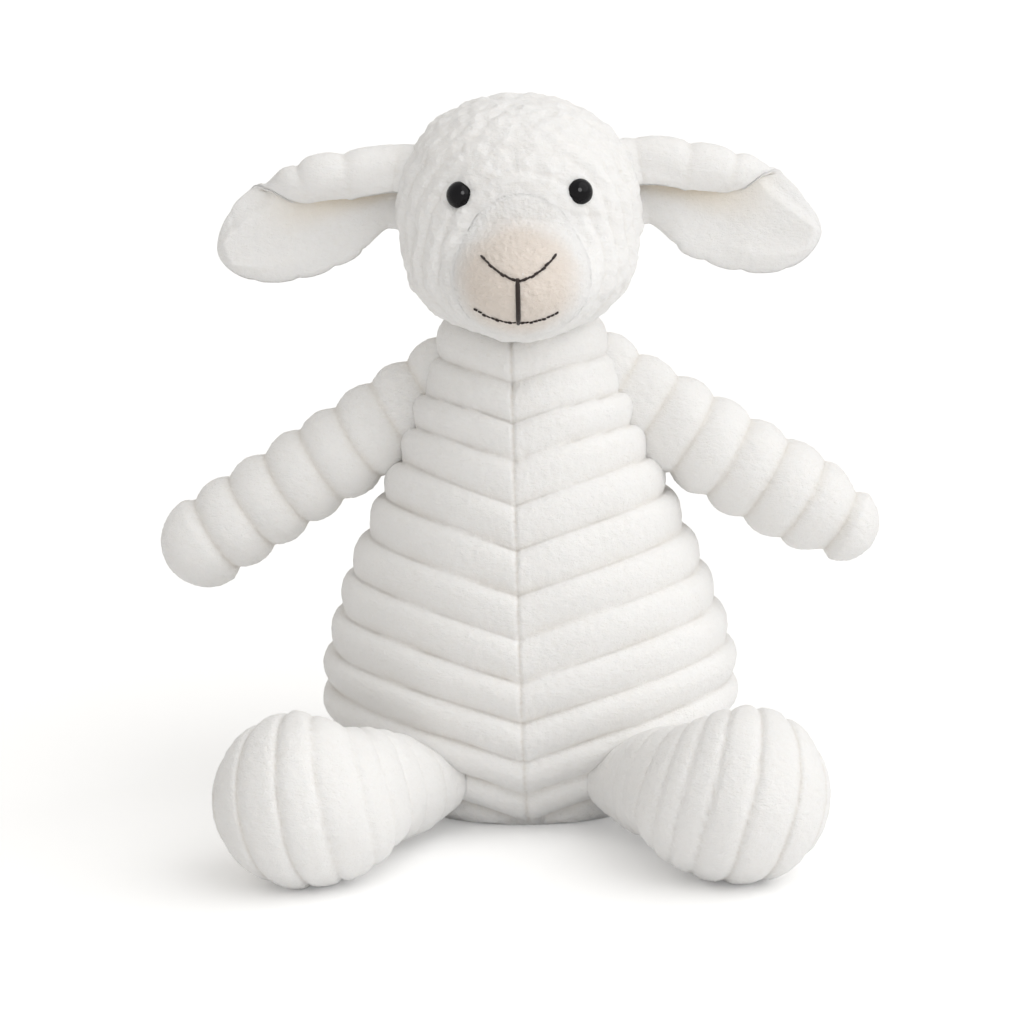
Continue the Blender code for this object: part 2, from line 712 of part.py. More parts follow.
def add_eye(name, side, joint):
    """A domed eye with its shank, and the washer pushed onto the shank inside."""
    place, outward = eye_place(side)
    inside = HEAD_WALL + PIECE_GAP - EYE_SINK
    shank_end = -EYE_SHANK_LENGTH
    dome = [(EYE_RADIUS * math.cos(turn), EYE_RISE * math.sin(turn))
            for turn in (math.pi / 2.0 * share for share in EYE_DOME_SHARES)]
    profile = dome + [(EYE_SHANK_RADIUS, 0.0), (EYE_SHANK_RADIUS, shank_end), (0.0, shank_end)]
    ring_solid(name, turned_rings(profile, place, outward, EYE_COLUMNS), joint,
               BLACK_PLASTIC, EYE_ROUGHNESS)
    hole = EYE_SHANK_RADIUS + PIECE_GAP
    low = -inside - WASHER_THICKNESS
    high = -inside
    washer = [(hole, low), (WASHER_RADIUS, low), (WASHER_RADIUS, high), (hole, high), (hole, low)]
    rings = turned_rings(washer, place, outward, EYE_COLUMNS)
    points = [point for ring in rings[:-1] for point in ring]
    faces = []
    rows = len(rings) - 1
    for row in range(rows):
        for column in range(EYE_COLUMNS):
            beside = (column + 1) % EYE_COLUMNS
            above = (row + 1) % rows
            faces.append((row * EYE_COLUMNS + column, row * EYE_COLUMNS + beside,
                          above * EYE_COLUMNS + beside, above * EYE_COLUMNS + column))
    add_piece(name + "_washer", points, faces, joint, CLEAR_PLASTIC, WASHER_ROUGHNESS)


def add_eye_cutter(name, side, joint):
    """The seat of an eye in the pile, its hole through the cloth and the washer's room."""
    place, outward = eye_place(side)
    inside = HEAD_WALL - EYE_SINK
    shank = EYE_SHANK_RADIUS + PIECE_GAP
    seat = EYE_RADIUS + PIECE_GAP
    room = WASHER_RADIUS + PIECE_GAP
    deep = EYE_SHANK_LENGTH + PIECE_GAP
    profile = [
        (0.0, EYE_RISE + EYE_RADIUS), (seat, EYE_RISE + EYE_RADIUS), (seat, -PIECE_GAP),
        (shank, -PIECE_GAP), (shank, -inside), (room, -inside), (room, -deep), (0.0, -deep),
    ]
    cutter = ring_solid(name, turned_rings(profile, place, outward, EYE_COLUMNS), joint,
                        BLACK_PLASTIC)
    hide_cutter(cutter)
    return cutter


# Face stitching
def muzzle_surface(sideways, height, lift):
    """A place on the muzzle's front at a distance to the side and a height."""
    low, high = HEAD_FORWARD, HEAD_FORWARD + MUZZLE_FORWARD + HEAD_RADIUS
    for _ in range(HALVINGS):
        middle = (low + high) / 2.0
        away = vector(sideways, -middle, height) - HEAD_CENTRE
        distance = np.linalg.norm(away)
        if distance < head_reach(away / distance) - HEAD_RIB_DEPTH + lift:
            low = middle
        else:
            high = middle
    return vector(sideways, -low, height)


def thread_rings(route, radius):
    """Rings along a thread that lies on the muzzle."""
    rings = []
    for index, place in enumerate(route):
        ahead = unit(route[min(index + 1, len(route) - 1)] - route[max(index - 1, 0)])
        outward = unit(place - HEAD_CENTRE)
        beside = unit(np.cross(ahead, outward))
        outward = np.cross(beside, ahead)
        rings.append([place + radius * (math.cos(turn) * beside + math.sin(turn) * outward)
                      for turn in (2.0 * math.pi * corner / THREAD_CORNERS
                                   for corner in range(THREAD_CORNERS))])
    return rings


def add_stitching(joint):
    """The nose line, the cleft below it and the mouth line."""
    lift = THREAD_RADIUS + THREAD_CLEARANCE
    shares = [2.0 * step / (THREAD_POINTS - 1) - 1.0 for step in range(THREAD_POINTS)]
    nose = [
        muzzle_surface(NOSE_HALF_WIDTH * share,
                       NOSE_VERTEX_HEIGHT + (NOSE_END_HEIGHT - NOSE_VERTEX_HEIGHT)
                       * abs(share) ** NOSE_CURVE, lift)
        for share in shares
    ]
    mouth = [
        muzzle_surface(MOUTH_HALF_WIDTH * share,
                       MOUTH_MIDDLE_HEIGHT + (MOUTH_END_HEIGHT - MOUTH_MIDDLE_HEIGHT)
                       * abs(share) ** MOUTH_CURVE, lift)
        for share in shares
    ]
    cleft_lift = CLEFT_THREAD_RADIUS + THREAD_CLEARANCE
    cleft_top = NOSE_VERTEX_HEIGHT - THREAD_RADIUS - CLEFT_THREAD_RADIUS / 2.0 - PIECE_GAP
    cleft_low = MOUTH_MIDDLE_HEIGHT + THREAD_RADIUS + CLEFT_THREAD_RADIUS / 2.0 + PIECE_GAP
    cleft = [muzzle_surface(0.0, height, cleft_lift)
             for height in np.linspace(cleft_top, cleft_low, CLEFT_POINTS)]
    for name, route, radius in (("nose", nose, THREAD_RADIUS), ("cleft", cleft, CLEFT_THREAD_RADIUS),
                                ("mouth", mouth, THREAD_RADIUS)):
        ring_solid(f"{name}_thread", thread_rings(route, radius), joint,
                   DARK_THREAD, THREAD_ROUGHNESS)


# Ears
def ear_frame(side_name):
    """The root's middle on the hinge, and the ear's along, hinge and outward directions."""
    side = SIDES[side_name]
    beside = math.sqrt(HEAD_RADIUS ** 2 - EAR_ROOT_BACK ** 2 - EAR_ROOT_ABOVE ** 2)
    outward = unit(vector(side * beside, EAR_ROOT_BACK, EAR_ROOT_ABOVE))
    edge = (EAR_BACK_THICKNESS + EAR_LINING_THICKNESS) / 2.0
    root = HEAD_CENTRE + outward * (HEAD_RADIUS + edge - EAR_SINK)
    droop = math.radians(EAR_DROOP_DEG[side_name])
    along = vector(side * math.cos(droop), 0.0, -math.sin(droop))
    hinge = unit(vector(-side * EAR_ROOT_ABOVE, 0.0, beside))
    return root, along, hinge, outward


def ear_middle(side_name, row_share, scallop):
    """One row across the ear, halfway through its thickness, lower edge first.

    At the root the roll leans away from the head, so the ear can flap forward.
    """
    root, along, hinge, _ = ear_frame(side_name)
    across = vector(-along[2] * -SIDES[side_name], 0.0, abs(along[0]))
    across = unit(hinge + (across - hinge) * eased(row_share / EAR_TURN_SHARE))
    ahead = vector(0.0, -1.0, 0.0)
    half = EAR_HALF_WIDTH * curve_at(EAR_WIDTH_SHARES, row_share) - scallop
    roll_share = curve_at(EAR_ROLL_SHARES, row_share)
    roll = EAR_ROLL_START_RADIUS
    roll += (EAR_ROLL_RADIUS - EAR_ROLL_START_RADIUS) * eased(row_share / EAR_OPENING_SHARE)
    roll = min(roll, half / 2.0)
    centre = root + along * EAR_LENGTH * row_share
    flat_end = half - roll
    row = []
    for share in EAR_FLAT_SHARES:
        reach = -half + (flat_end + half) * (share + 1.0) / 2.0
        cup = EAR_CUP * eased(row_share / EAR_CUP_SHARE) * min(reach / half, 0.0) ** 2
        row.append(centre + across * reach + ahead * cup)
    for turn_share in EAR_ROLL_TURNS:
        turn = math.pi * roll_share * turn_share
        row.append(centre + across * (flat_end + roll * math.sin(turn))
                   + ahead * roll * (1.0 - math.cos(turn)))
    flap = EAR_FLAP * eased(2.0 * roll_share - 1.0) * eased(row_share / EAR_FLAP_SHARE)
    flap += EAR_SCALLOP
    turn = math.pi * roll_share
    row.append(row[-1] + (across * math.cos(turn) + ahead * math.sin(turn)) * flap)
    lean = EAR_ROOT_LEAN * (1.0 - eased(row_share / EAR_LEAN_SHARE))
    return [place + along * lean * np.dot(place - centre, ahead) for place in row]


def surface_normals(grid):
    """Unit normals of a grid of points, from its rows and columns."""
    down = np.gradient(grid, axis=0)
    beside = np.gradient(grid, axis=1)
    normals = np.cross(down, beside)
    return normals / np.linalg.norm(normals, axis=2, keepdims=True)


def add_ear(side_name, joint):
    """The ribbed back cloth, rounded at its root, and the smooth lining in front of it."""
    rows = 2 * EAR_RIBS
    valleys = np.array([0.0] + [1.0 - row % 2 for row in range(rows + 1)])
    half = (EAR_BACK_THICKNESS + EAR_LINING_THICKNESS) / 2.0
    butt = -ear_frame(side_name)[3] * half * EAR_BUTT_SHARE
    grids = []
    for scallop in (EAR_SCALLOP, 0.0):
        middles = [ear_middle(side_name, row / rows, scallop * valleys[row + 1])
                   for row in range(rows + 1)]
        grids.append(np.array([[place + butt for place in middles[0]]] + middles))
    scalloped, plain = grids
    normals = surface_normals(plain)
    if normals[rows // 2, 1, 1] < 0.0:
        normals = -normals
    behind = half - EAR_SCALLOP * valleys[:, None, None] / 2.0
    behind[0] *= math.sqrt(1.0 - EAR_BUTT_SHARE ** 2)
    meeting = half - EAR_BACK_THICKNESS
    panel_shell(f"{side_name}_ear_back", scalloped + normals * behind,
                plain + normals * (meeting + PIECE_GAP / 2.0), 1, joint, WHITE_PLUSH)
    panel_shell(f"{side_name}_ear_lining", plain[1:] + normals[1:] * (meeting - PIECE_GAP / 2.0),
                plain[1:] - normals[1:] * half, 1, joint, SMOOTH_LINING)


# Arms
def shoulder_frame(side_name):
    """The seam's middle on the hinge, the arm's along and upward, and the seam's outward."""
    side = SIDES[side_name]
    top = vector(side * body_section(SHOULDER_TOP_HEIGHT)[0], 0.0, SHOULDER_TOP_HEIGHT)
    bottom = vector(side * body_section(SHOULDER_BOTTOM_HEIGHT)[0], 0.0, SHOULDER_BOTTOM_HEIGHT)
    hinge = unit(top - bottom)
    outward = vector(side * hinge[2], 0.0, -side * hinge[0])
    drop = math.radians(ARM_DROP_DEG[side_name])
    along = vector(side * math.cos(drop), 0.0, -math.sin(drop))
    upward = vector(side * math.sin(drop), 0.0, math.cos(drop))
    middle = (top + bottom) / 2.0 + outward * (HINGE_EDGE + PIECE_GAP)
    return middle, along, upward, outward, hinge


def hinge_thickness(out, full, taper_length):
    """Half-thickness of a limb at a distance out from its hinge line."""
    if out < 0.0:
        return math.sqrt(max(HINGE_EDGE ** 2 - out * out, 0.0))
    return HINGE_EDGE + (full - HINGE_EDGE) * eased(out / taper_length)


def arm_half_row(side_name, along_place, inset, sunk):
    """Half a ring of the arm, lower edge first, as places and half-thicknesses."""
    middle, along, upward, outward, _ = shoulder_frame(side_name)
    length, tip_radius = ARM_LENGTH[side_name], ARM_TIP_RADIUS[side_name]
    narrowing = eased(share_between(along_place, length - ARM_NARROWING_LENGTH, length))
    widest = ARM_RADIUS[side_name] + (tip_radius - ARM_RADIUS[side_name]) * narrowing
    radius = widest - inset
    if along_place > length:
        along_place = length + (along_place - length) * radius / widest
    beyond = share_between(along_place, length, length + radius)
    ring = max(radius * math.sqrt(1.0 - beyond * beyond) - sunk, 0.0)
    start = -HINGE_EDGE if inset == 0.0 else 2.0 * inset
    slant_along = along @ outward
    slant_upward = upward @ outward
    first_place = (start - slant_upward * ring) / slant_along
    along_place = max(along_place, first_place)
    lowest = max((start - slant_along * along_place) / slant_upward, -ring)
    row = []
    for share in ARM_COLUMN_SHARES:
        if lowest > -ring:
            reach = lowest + (ring - lowest) * share
        else:
            reach = -ring * math.cos(math.pi * share)
        place = middle + along * along_place + upward * reach
        out = along_place * slant_along + reach * slant_upward
        round_share = math.sqrt(max(1.0 - (reach / ring) ** 2, 0.0)) if ring > 0.0 else 0.0
        full = max(hinge_thickness(out, widest, ARM_TAPER_LENGTH) - inset, 0.0)
        thickness = round_share * full * ring / max(radius, inset)
        row.append((place, max(thickness, 0.0)))
    return row


def arm_places(side_name):
    """Places of the rows along the arm, with how far each lies in a rib's valley."""
    places = []
    for rib in range(-ARM_RIBS_BEFORE, ARM_RIBS_AFTER):
        for share in RIB_ROW_SHARES:
            places.append((ARM_FIRST_VALLEY + ARM_PITCH * (rib + share), rib_valley(share)))
    last = ARM_FIRST_VALLEY + ARM_PITCH * ARM_RIBS_AFTER
    tip = ARM_LENGTH[side_name] + ARM_TIP_RADIUS[side_name]
    for share, valley in ARM_TIP_SHARES:
        places.append((last + (tip - last) * share, valley))
    while (len(places) - 1) % len(RIB_ROW_SHARES):
        places.insert(-1, tuple((np.array(places[-1]) + np.array(places[-2])) / 2.0))
    return places


def add_arm(side_name, joint):
    """Front and back panels round a core of stuffing."""
    places = arm_places(side_name)
    stride = len(RIB_ROW_SHARES)
    for face_name, toward in (("front", -1.0), ("back", 1.0)):
        outer, inner = [], []
        for row, (place, valley) in enumerate(places):
            for grid, inset, sunk in ((outer, 0.0, RIB_DEPTH * valley), (inner, LIMB_WALL, 0.0)):
                if grid is inner and row % stride:
                    continue
                grid.append([
                    point + vector(0.0, toward * (thickness + SEAM_GAP / 2.0), 0.0)
                    for point, thickness in arm_half_row(side_name, place, inset, sunk)
                ])
        panel_shell(f"{side_name}_arm_{face_name}", outer, inner, stride, joint, WHITE_PLUSH)
    rings = []
    for place, _ in places[::stride]:
        half = arm_half_row(side_name, place, LIMB_WALL + FILLING_GAP, 0.0)
        front = [point - vector(0.0, thickness, 0.0) for point, thickness in half]
        back = [point + vector(0.0, thickness, 0.0) for point, thickness in half]
        rings.append(front + back[::-1])
    ring_solid(f"{side_name}_arm_stuffing", rings, joint, FIBRE_FILL)


# Legs
def hip_frame(side_name):
    """The hinge's middle on the body, its outward direction and the hinge direction."""
    side = SIDES[side_name]
    turn = math.radians(HIP_SIDE_DEG)
    half_width, half_depth = body_section(HIP_HEIGHT)
    round_body = math.atan2(math.sin(turn) * half_width, math.cos(turn) * half_depth)
    spot = body_point(HIP_HEIGHT, round_body, HIP_SINK) * vector(side, 1.0, 1.0)
    outward = unit(vector(spot[0] / half_width ** 2, spot[1] / half_depth ** 2, 0.0))
    hinge = vector(-outward[1], outward[0], 0.0)
    return spot + outward * (HINGE_EDGE + PIECE_GAP), outward, hinge


def leg_axis(side_name, share):
    """A place on the leg's bent axis and the way it heads there."""
    side = SIDES[side_name]
    start, outward, _ = hip_frame(side_name)
    end = vector(side * FOOT_SIDE, -FOOT_FORWARD, FOOT_RADIUS - FOOT_SINK)
    point_turn = math.radians(FOOT_POINT_DEG)
    end_heading = vector(side * math.cos(point_turn), -math.sin(point_turn), 0.0)
    first = start + outward * LEG_START_REACH
    second = end - end_heading * LEG_END_REACH
    rest = 1.0 - share
    place = (start * rest ** 3 + first * 3.0 * rest ** 2 * share
             + second * 3.0 * rest * share ** 2 + end * share ** 3)
    heading = ((first - start) * rest ** 2 + (second - first) * 2.0 * rest * share
               + (end - second) * share ** 2) * vector(1.0, 1.0, 0.0)
    return place, unit(heading)


def leg_ring(side_name, share, inset, sunk):
    """A ring of the leg; a share past 1 goes round the end of the foot."""
    place, heading = leg_axis(side_name, min(max(share, 0.0), 1.0))
    start, outward, _ = hip_frame(side_name)
    beyond = max(share - 1.0, 0.0)
    swell = curve_at(LEG_RING_SHARES, min(share, 1.0))
    half_width = LEG_HALF_WIDTH + (FOOT_RADIUS - LEG_HALF_WIDTH) * swell - inset
    place = place + heading * beyond * (FOOT_RADIUS - inset)
    if share < 0.0:
        place = place + outward * HINGE_EDGE * share
    closing = math.sqrt(max(1.0 - beyond * beyond, 0.0))
    out = (place - start) @ outward
    if share >= 0.0:
        out = max(out, 0.0)
    half_height = hinge_thickness(min(out, LEG_TAPER_LENGTH), half_width + inset, LEG_TAPER_LENGTH)
    spare = min(inset, THINNING_SHARE * half_height)
    sunk *= min(1.0, closing + FOOT_END_RIB_SHARE)
    half_width = max(half_width * closing - sunk, 0.0)
    half_height = max((half_height - spare) * closing - sunk * half_height / FOOT_RADIUS, 0.0)
    across = vector(-heading[1], heading[0], 0.0)
    ring = []
    for column in range(LEG_COLUMNS):
        turn = 2.0 * math.pi * column / LEG_COLUMNS
        point = (place + across * half_width * math.cos(turn)
                 + vector(0.0, 0.0, half_height * math.sin(turn)))
        point[2] = max(point[2], inset)
        ring.append(point)
    return ring


def leg_shares():
    """Shares of the rows along the leg and round the foot, with their rib valleys."""
    shares = [(ROOT_ROW_SHARE, 0.0)]
    for rib in range(LEG_RIBS):
        for share in FINE_RIB_ROW_SHARES:
            at = (rib + share) / LEG_RIBS
            along = at * LEG_SPAN
            if along > 1.0:
                along = 1.0 + math.sin((along - 1.0) / (LEG_SPAN - 1.0) * math.pi / 2.0)
            shares.append((along, rib_valley(share)))
    shares.append((2.0, 0.0))
    return shares


def add_leg(side_name, joint):
    """The skin, open only as a slit at the hip seam, its stuffing and a bag of pellets."""
    shares = leg_shares()
    inner_shares = [share for share, _ in shares[1::len(FINE_RIB_ROW_SHARES)]] + [2.0]
    nearest = min(range(len(inner_shares)), key=lambda index: abs(inner_shares[index] - 1.0))
    inner_shares[nearest] = 1.0
    outside = [leg_ring(side_name, share, 0.0, RIB_DEPTH * valley) for share, valley in shares]
    inside = [leg_ring(side_name, share, LIMB_WALL, 0.0) for share in inner_shares]
    mouth = leg_ring(side_name, shares[0][0], HINGE_EDGE / 2.0, 0.0)
    ring_loop(f"{side_name}_leg_skin", [mouth] + outside, inside[::-1], joint, WHITE_PLUSH)
    inset = LIMB_WALL + FILLING_GAP
    core = [share for share in inner_shares if LEG_CORE_START_SHARE < share <= 1.0]
    ring_solid(f"{side_name}_leg_stuffing",
               [leg_ring(side_name, share, inset, 0.0) for share in core], joint, FIBRE_FILL)
    bag = [1.0 + 1.5 * PIECE_GAP / FOOT_RADIUS] + [share for share in inner_shares if share > 1.0]
    ring_solid(f"{side_name}_foot_pellet_bag",
               [leg_ring(side_name, share, inset, 0.0) for share in bag], joint, LINER_CLOTH)


# Tail
def tail_frame():
    """The hinge's middle on the back seam, and the tail's along and upward directions."""
    half_depth = body_section(TAIL_HEIGHT)[1]
    forward = NECK_FORWARD * share_between(TAIL_HEIGHT, BELLY_HEIGHT, NECK_HEIGHT)
    root = vector(0.0, half_depth - forward - TAIL_SINK + HINGE_EDGE + PIECE_GAP, TAIL_HEIGHT)
    drop = math.radians(TAIL_DROP_DEG)
    along = vector(0.0, math.cos(drop), -math.sin(drop))
    upward = vector(0.0, math.sin(drop), math.cos(drop))
    return root, along, upward


def tail_ring(share, inset):
    """A ring of the tail, whose flat root lies along the upright hinge."""
    root, along, upward = tail_frame()
    outward = vector(0.0, 1.0, 0.0)
    up = vector(0.0, 0.0, 1.0)
    lean = eased(share / TAIL_ROUND_SHARE)
    across_up = unit(up + (upward - up) * lean)
    closing = math.sqrt(max(1.0 - share_between(share, TAIL_ROUND_SHARE, 1.0) ** 2, 0.0))
    length = TAIL_LENGTH - inset if share > TAIL_ROUND_SHARE else TAIL_LENGTH
    place = root + along * length * max(share, 0.0)
    if share < 0.0:
        place = place + outward * HINGE_EDGE * share
    out = (place - root) @ outward
    half_height = max((TAIL_HALF_WIDTH - inset) * closing, 0.0)
    half_thick = hinge_thickness(out, TAIL_HALF_THICKNESS, TAIL_LENGTH / 2.0)
    half_thick = max((half_thick - min(inset, THINNING_SHARE * half_thick)) * closing, 0.0)
    ring = []
    for column in range(TAIL_COLUMNS):
        turn = 2.0 * math.pi * column / TAIL_COLUMNS
        ring.append(place + across_up * half_height * math.cos(turn)
                    + vector(half_thick * math.sin(turn), 0.0, 0.0))
    return ring


def add_tail(joint):
    outside = [tail_ring(share, 0.0) for share in (ROOT_ROW_SHARE,) + TAIL_ROW_SHARES]
    inside = [tail_ring(share, TAIL_WALL) for share in TAIL_ROW_SHARES]
    mouth = tail_ring(ROOT_ROW_SHARE, HINGE_EDGE / 2.0)
    ring_loop("tail_skin", [mouth] + outside, inside[::-1], joint, WHITE_PLUSH)
    inset = TAIL_WALL + PIECE_GAP
    rings = [tail_ring(share, inset) for share in TAIL_CORE_SHARES]
    ring_solid("tail_stuffing", rings, joint, FIBRE_FILL)


def build_sheep():
    clear_scene()
    body = add_joint("body_frame", (0.0, 0.0, 0.0))
    neck_place = (0.0, -NECK_FORWARD, NECK_HEIGHT)
    neck = add_joint("neck_turn_axis", neck_place, body)
    head = add_joint("head_nod_axis", neck_place, neck)
    head.rotation_euler.z = math.radians(HEAD_TURN_DEG)

    add_seat(body)
    add_body_fillings(body)
    add_neck(neck)
    stuffing = add_head_stuffing(head)
    neck_cutter = add_neck_cutter(head)
    cut_with(stuffing, neck_cutter, "neck")
    add_muzzle(head)
    add_stitching(head)
    for side_name, side in SIDES.items():
        add_body_panel(f"{side_name}_body_panel", side, body)
        panel = add_head_panel(f"{side_name}_head_panel", side, head)
        cut_with(panel, neck_cutter, "neck")
        eye_cutter = add_eye_cutter(f"{side_name}_eye_clearance", side, head)
        cut_with(panel, eye_cutter, "eye")
        cut_with(stuffing, eye_cutter, f"{side_name}_eye")
        add_eye(f"{side_name}_eye", side, head)
        ear = add_joint(f"{side_name}_ear_axis", ear_frame(side_name)[0], head)
        add_ear(side_name, ear)
        arm = add_joint(f"{side_name}_arm_axis", shoulder_frame(side_name)[0], body)
        add_arm(side_name, arm)
        leg = add_joint(f"{side_name}_leg_axis", hip_frame(side_name)[0], body)
        add_leg(side_name, leg)
    tail = add_joint("tail_axis", tail_frame()[0], body)
    add_tail(tail)


build_sheep()
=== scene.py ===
"""A seated plush sheep in ribbed white pile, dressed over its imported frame.

Metres, +Z up, the face looks along -Y. Left and right are the sheep's own, so its
right side lies at -X, which is the left of the picture.
"""

import math

import bpy
import numpy as np
from mathutils import Matrix, Vector, noise


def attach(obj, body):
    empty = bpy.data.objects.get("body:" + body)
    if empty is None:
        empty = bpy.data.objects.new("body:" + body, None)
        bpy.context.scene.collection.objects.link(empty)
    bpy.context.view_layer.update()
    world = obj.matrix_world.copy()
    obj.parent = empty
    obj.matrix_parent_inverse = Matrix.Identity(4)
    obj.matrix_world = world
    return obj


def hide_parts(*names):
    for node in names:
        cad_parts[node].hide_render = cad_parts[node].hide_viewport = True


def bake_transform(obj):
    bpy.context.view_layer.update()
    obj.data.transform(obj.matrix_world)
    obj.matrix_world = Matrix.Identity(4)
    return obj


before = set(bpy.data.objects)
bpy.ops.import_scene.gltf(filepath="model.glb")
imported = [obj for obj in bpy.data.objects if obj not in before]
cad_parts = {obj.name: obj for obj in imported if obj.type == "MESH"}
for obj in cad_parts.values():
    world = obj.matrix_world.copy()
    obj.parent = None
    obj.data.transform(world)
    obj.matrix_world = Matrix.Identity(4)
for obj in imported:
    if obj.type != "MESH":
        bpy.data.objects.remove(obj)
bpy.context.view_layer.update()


# Body: a pear of wide-ribbed pile cloth over loose stuffing, cut as two halves that meet
# in a front and a back seam. The ribs run level at the sides and step down to the seams,
# and the top is turned in as a socket for the round plug of the neck.
BELLY_WIDE, BELLY_DEEP, BELLY_HIGH, BELLY_TUCK = 0.0704, 0.0605, 0.0367, 0.9
SEAT_WIDE, SEAT_DEEP = 0.0450, 0.0400
# Share of the way from belly to neck, and how much of the swell is left there.
BODY_TAPER = (
    (0.0, 1.0), (0.11, 0.99), (0.22, 0.912), (0.33, 0.81), (0.44, 0.70), (0.54, 0.568),
    (0.65, 0.445), (0.75, 0.312), (0.86, 0.186), (0.95, 0.085), (1.0, 0.0),
)
NECK = np.array((0.0, -0.0040, 0.1470))
NECK_ROUND, SOCKET_ROUND = 0.0310, 0.0256
NECK_OPENING = math.radians(42.0)
WHITE_PILE = (0.895, 0.885, 0.868)
# Colour of the shade painted into the creases and seams of the pile.
PAINTED_CREASE_SHADE = (0.76, 0.715, 0.650)


class Wire:
    """An output of a node; sums on it add the Math nodes that work them out."""

    def __init__(self, tree, socket=None):
        self.tree = tree
        self.socket = socket

    def add(self, kind, settings=None, sockets=None, out=0):
        """Any node: its settings come first, then the values or wires of its sockets."""
        node = self.tree.nodes.new(kind)
        for name, value in (settings or {}).items():
            setattr(node, name, value)
        for name, value in (sockets or {}).items():
            if isinstance(value, Wire):
                self.tree.links.new(value.socket, node.inputs[name])
            else:
                node.inputs[name].default_value = value
        return Wire(self.tree, node.outputs[out])

    def noise(self, place, scale, **sockets):
        return self.add("ShaderNodeTexNoise", None, {"Vector": place, "Scale": scale, **sockets})

    def sum(self, operation, first, second):
        return self.add("ShaderNodeMath", {"operation": operation}, {0: first, 1: second})

    def __add__(self, other):
        return self.sum("ADD", self, other)

    def __sub__(self, other):
        return self.sum("SUBTRACT", self, other)

    def __rsub__(self, other):
        return self.sum("SUBTRACT", other, self)

    def __mul__(self, other):
        return self.sum("MULTIPLY", self, other)

    def held(self):
        """The same, held between 0 and 1."""
        return self.sum("MINIMUM", self.sum("MAXIMUM", self, 0.0), 1.0)

    def blend(self, low, high):
        """From one colour to another as this wire goes from 0 to 1."""
        low, high = (end if isinstance(end, Wire) else (*end, 1.0) for end in (low, high))
        return self.add("ShaderNodeMix", {"data_type": "RGBA"}, {0: self, 6: low, 7: high}, out=2)

    def feed(self, shader, name):
        """Leads into a socket of the shader."""
        self.tree.links.new(self.socket, shader.inputs[name])


def new_finish(name, **constants):
    """A material with its Principled shader's constants set, and a wire to build on."""
    finish = bpy.data.materials.new(name)
    finish.use_nodes = True
    tree = finish.node_tree
    shader = tree.nodes["Principled BSDF"]
    for socket, value in constants.items():
        shader.inputs[socket.replace("_", " ")].default_value = value
    return finish, shader, Wire(tree)


def pile_finish(name, base, crease_shade_colour, stain_and_hollow_shade_colour, grain=1.0, relief=0.0008):
    """Short dense pile: a base colour, shade painted into its creases, a colour laid over by the
    stain attribute, and combed fibres.
    """
    finish, shader, wire = new_finish(
        name, Roughness=0.92, Sheen_Weight=0.30, Sheen_Roughness=0.45,
        Subsurface_Weight=0.22, Subsurface_Scale=0.0022, Subsurface_Radius=(1.0, 0.93, 0.85),
        Specular_IOR_Level=0.15)
    place = wire.add("ShaderNodeTexCoord", out=3)
    combed = wire.add("ShaderNodeMapping", None, {"Vector": place, "Scale": (0.6, 0.8, 1.3)})
    tufts = wire.noise(combed, 900.0 / grain, Detail=3.0, Roughness=0.6, Distortion=0.6)
    fibres = wire.noise(combed, 2400.0 / grain, Roughness=0.7)
    clouds = wire.noise(place, 70.0)
    crease, stain_and_hollow_shade = (wire.add("ShaderNodeAttribute", {"attribute_name": label}, out=2)
                     for label in ("crease", "stain_and_hollow_shade"))
    # The crease attribute paints shade into creases and seams; the noises add uneven tone of the
    # pile.
    painted_shade_and_tone = crease * 0.55 + (clouds - 0.5) * 0.22 + (0.5 - tufts) * 0.45 + (0.5 - fibres) * 0.35
    colour = painted_shade_and_tone.held().blend(base, crease_shade_colour)
    # The stain attribute lays in the muzzle's beige stain, and the warm shade painted into the ear
    # lining's hollow.
    uneven = (stain_and_hollow_shade + (tufts - 0.5) * 0.35 * stain_and_hollow_shade).held()
    uneven.blend(colour, stain_and_hollow_shade_colour).feed(shader, "Base Color")
    wire.add("ShaderNodeBump", None, {
        "Height": tufts * 0.62 + fibres * 0.38, "Strength": 0.85, "Distance": relief,
    }).feed(shader, "Normal")
    return finish


def curve_through(pairs, at):
    """Reads a smooth curve through pairs of place and value, at many places."""
    places, values = np.array(pairs).T
    slopes = np.gradient(values, places)
    at = np.clip(at, places[0], places[-1])
    low = np.clip(np.searchsorted(places, at, side="right") - 1, 0, len(places) - 2)
    width = places[low + 1] - places[low]
    step = (at - places[low]) / width
    return (values[low] * (1 + 2 * step) * (1 - step) ** 2
            + slopes[low] * width * step * (1 - step) ** 2
            + values[low + 1] * step ** 2 * (3 - 2 * step)
            + slopes[low + 1] * width * step ** 2 * (step - 1))


def eased(share):
    """From 0 to 1 with a slow start and end."""
    share = np.clip(share, 0.0, 1.0)
    return share * share * (3.0 - 2.0 * share)


def turns_of(columns):
    """Even turns once round, for the columns of a form."""
    return np.linspace(0.0, 2.0 * math.pi, columns, endpoint=False)


def tip_steps(rows):
    """Steps from 0 to 1 that crowd at the end, for the rows of a rounded tip."""
    return np.sin(np.linspace(0.0, 1.0, rows) * math.pi / 2.0)


def crease_of(phase, sharpness=2.1, sag=1.0):
    """1 in the crease between two ribs, 0 on the crest, from the count of ribs."""
    return np.abs(2.0 * (phase % 1.0) ** sag - 1.0) ** sharpness


def unit(vectors):
    return vectors / np.linalg.norm(vectors, axis=-1, keepdims=True)


def wander(points, size, seed):
    """Slow unevenness between about -1 and 1 for each point."""
    shift = Vector((seed * 1.7, seed * 0.9, seed * 2.3))
    flat = points.reshape(-1, 3) / size
    return np.array([noise.noise(Vector(p) + shift) for p in flat]).reshape(points.shape[:-1])


def placed(name, data):
    """A new object in the scene."""
    thing = bpy.data.objects.new(name, data)
    bpy.context.collection.objects.link(thing)
    return thing


TUFT, FINE_TUFT, FINE_SHARE = 0.0021, 0.0010, 0.7


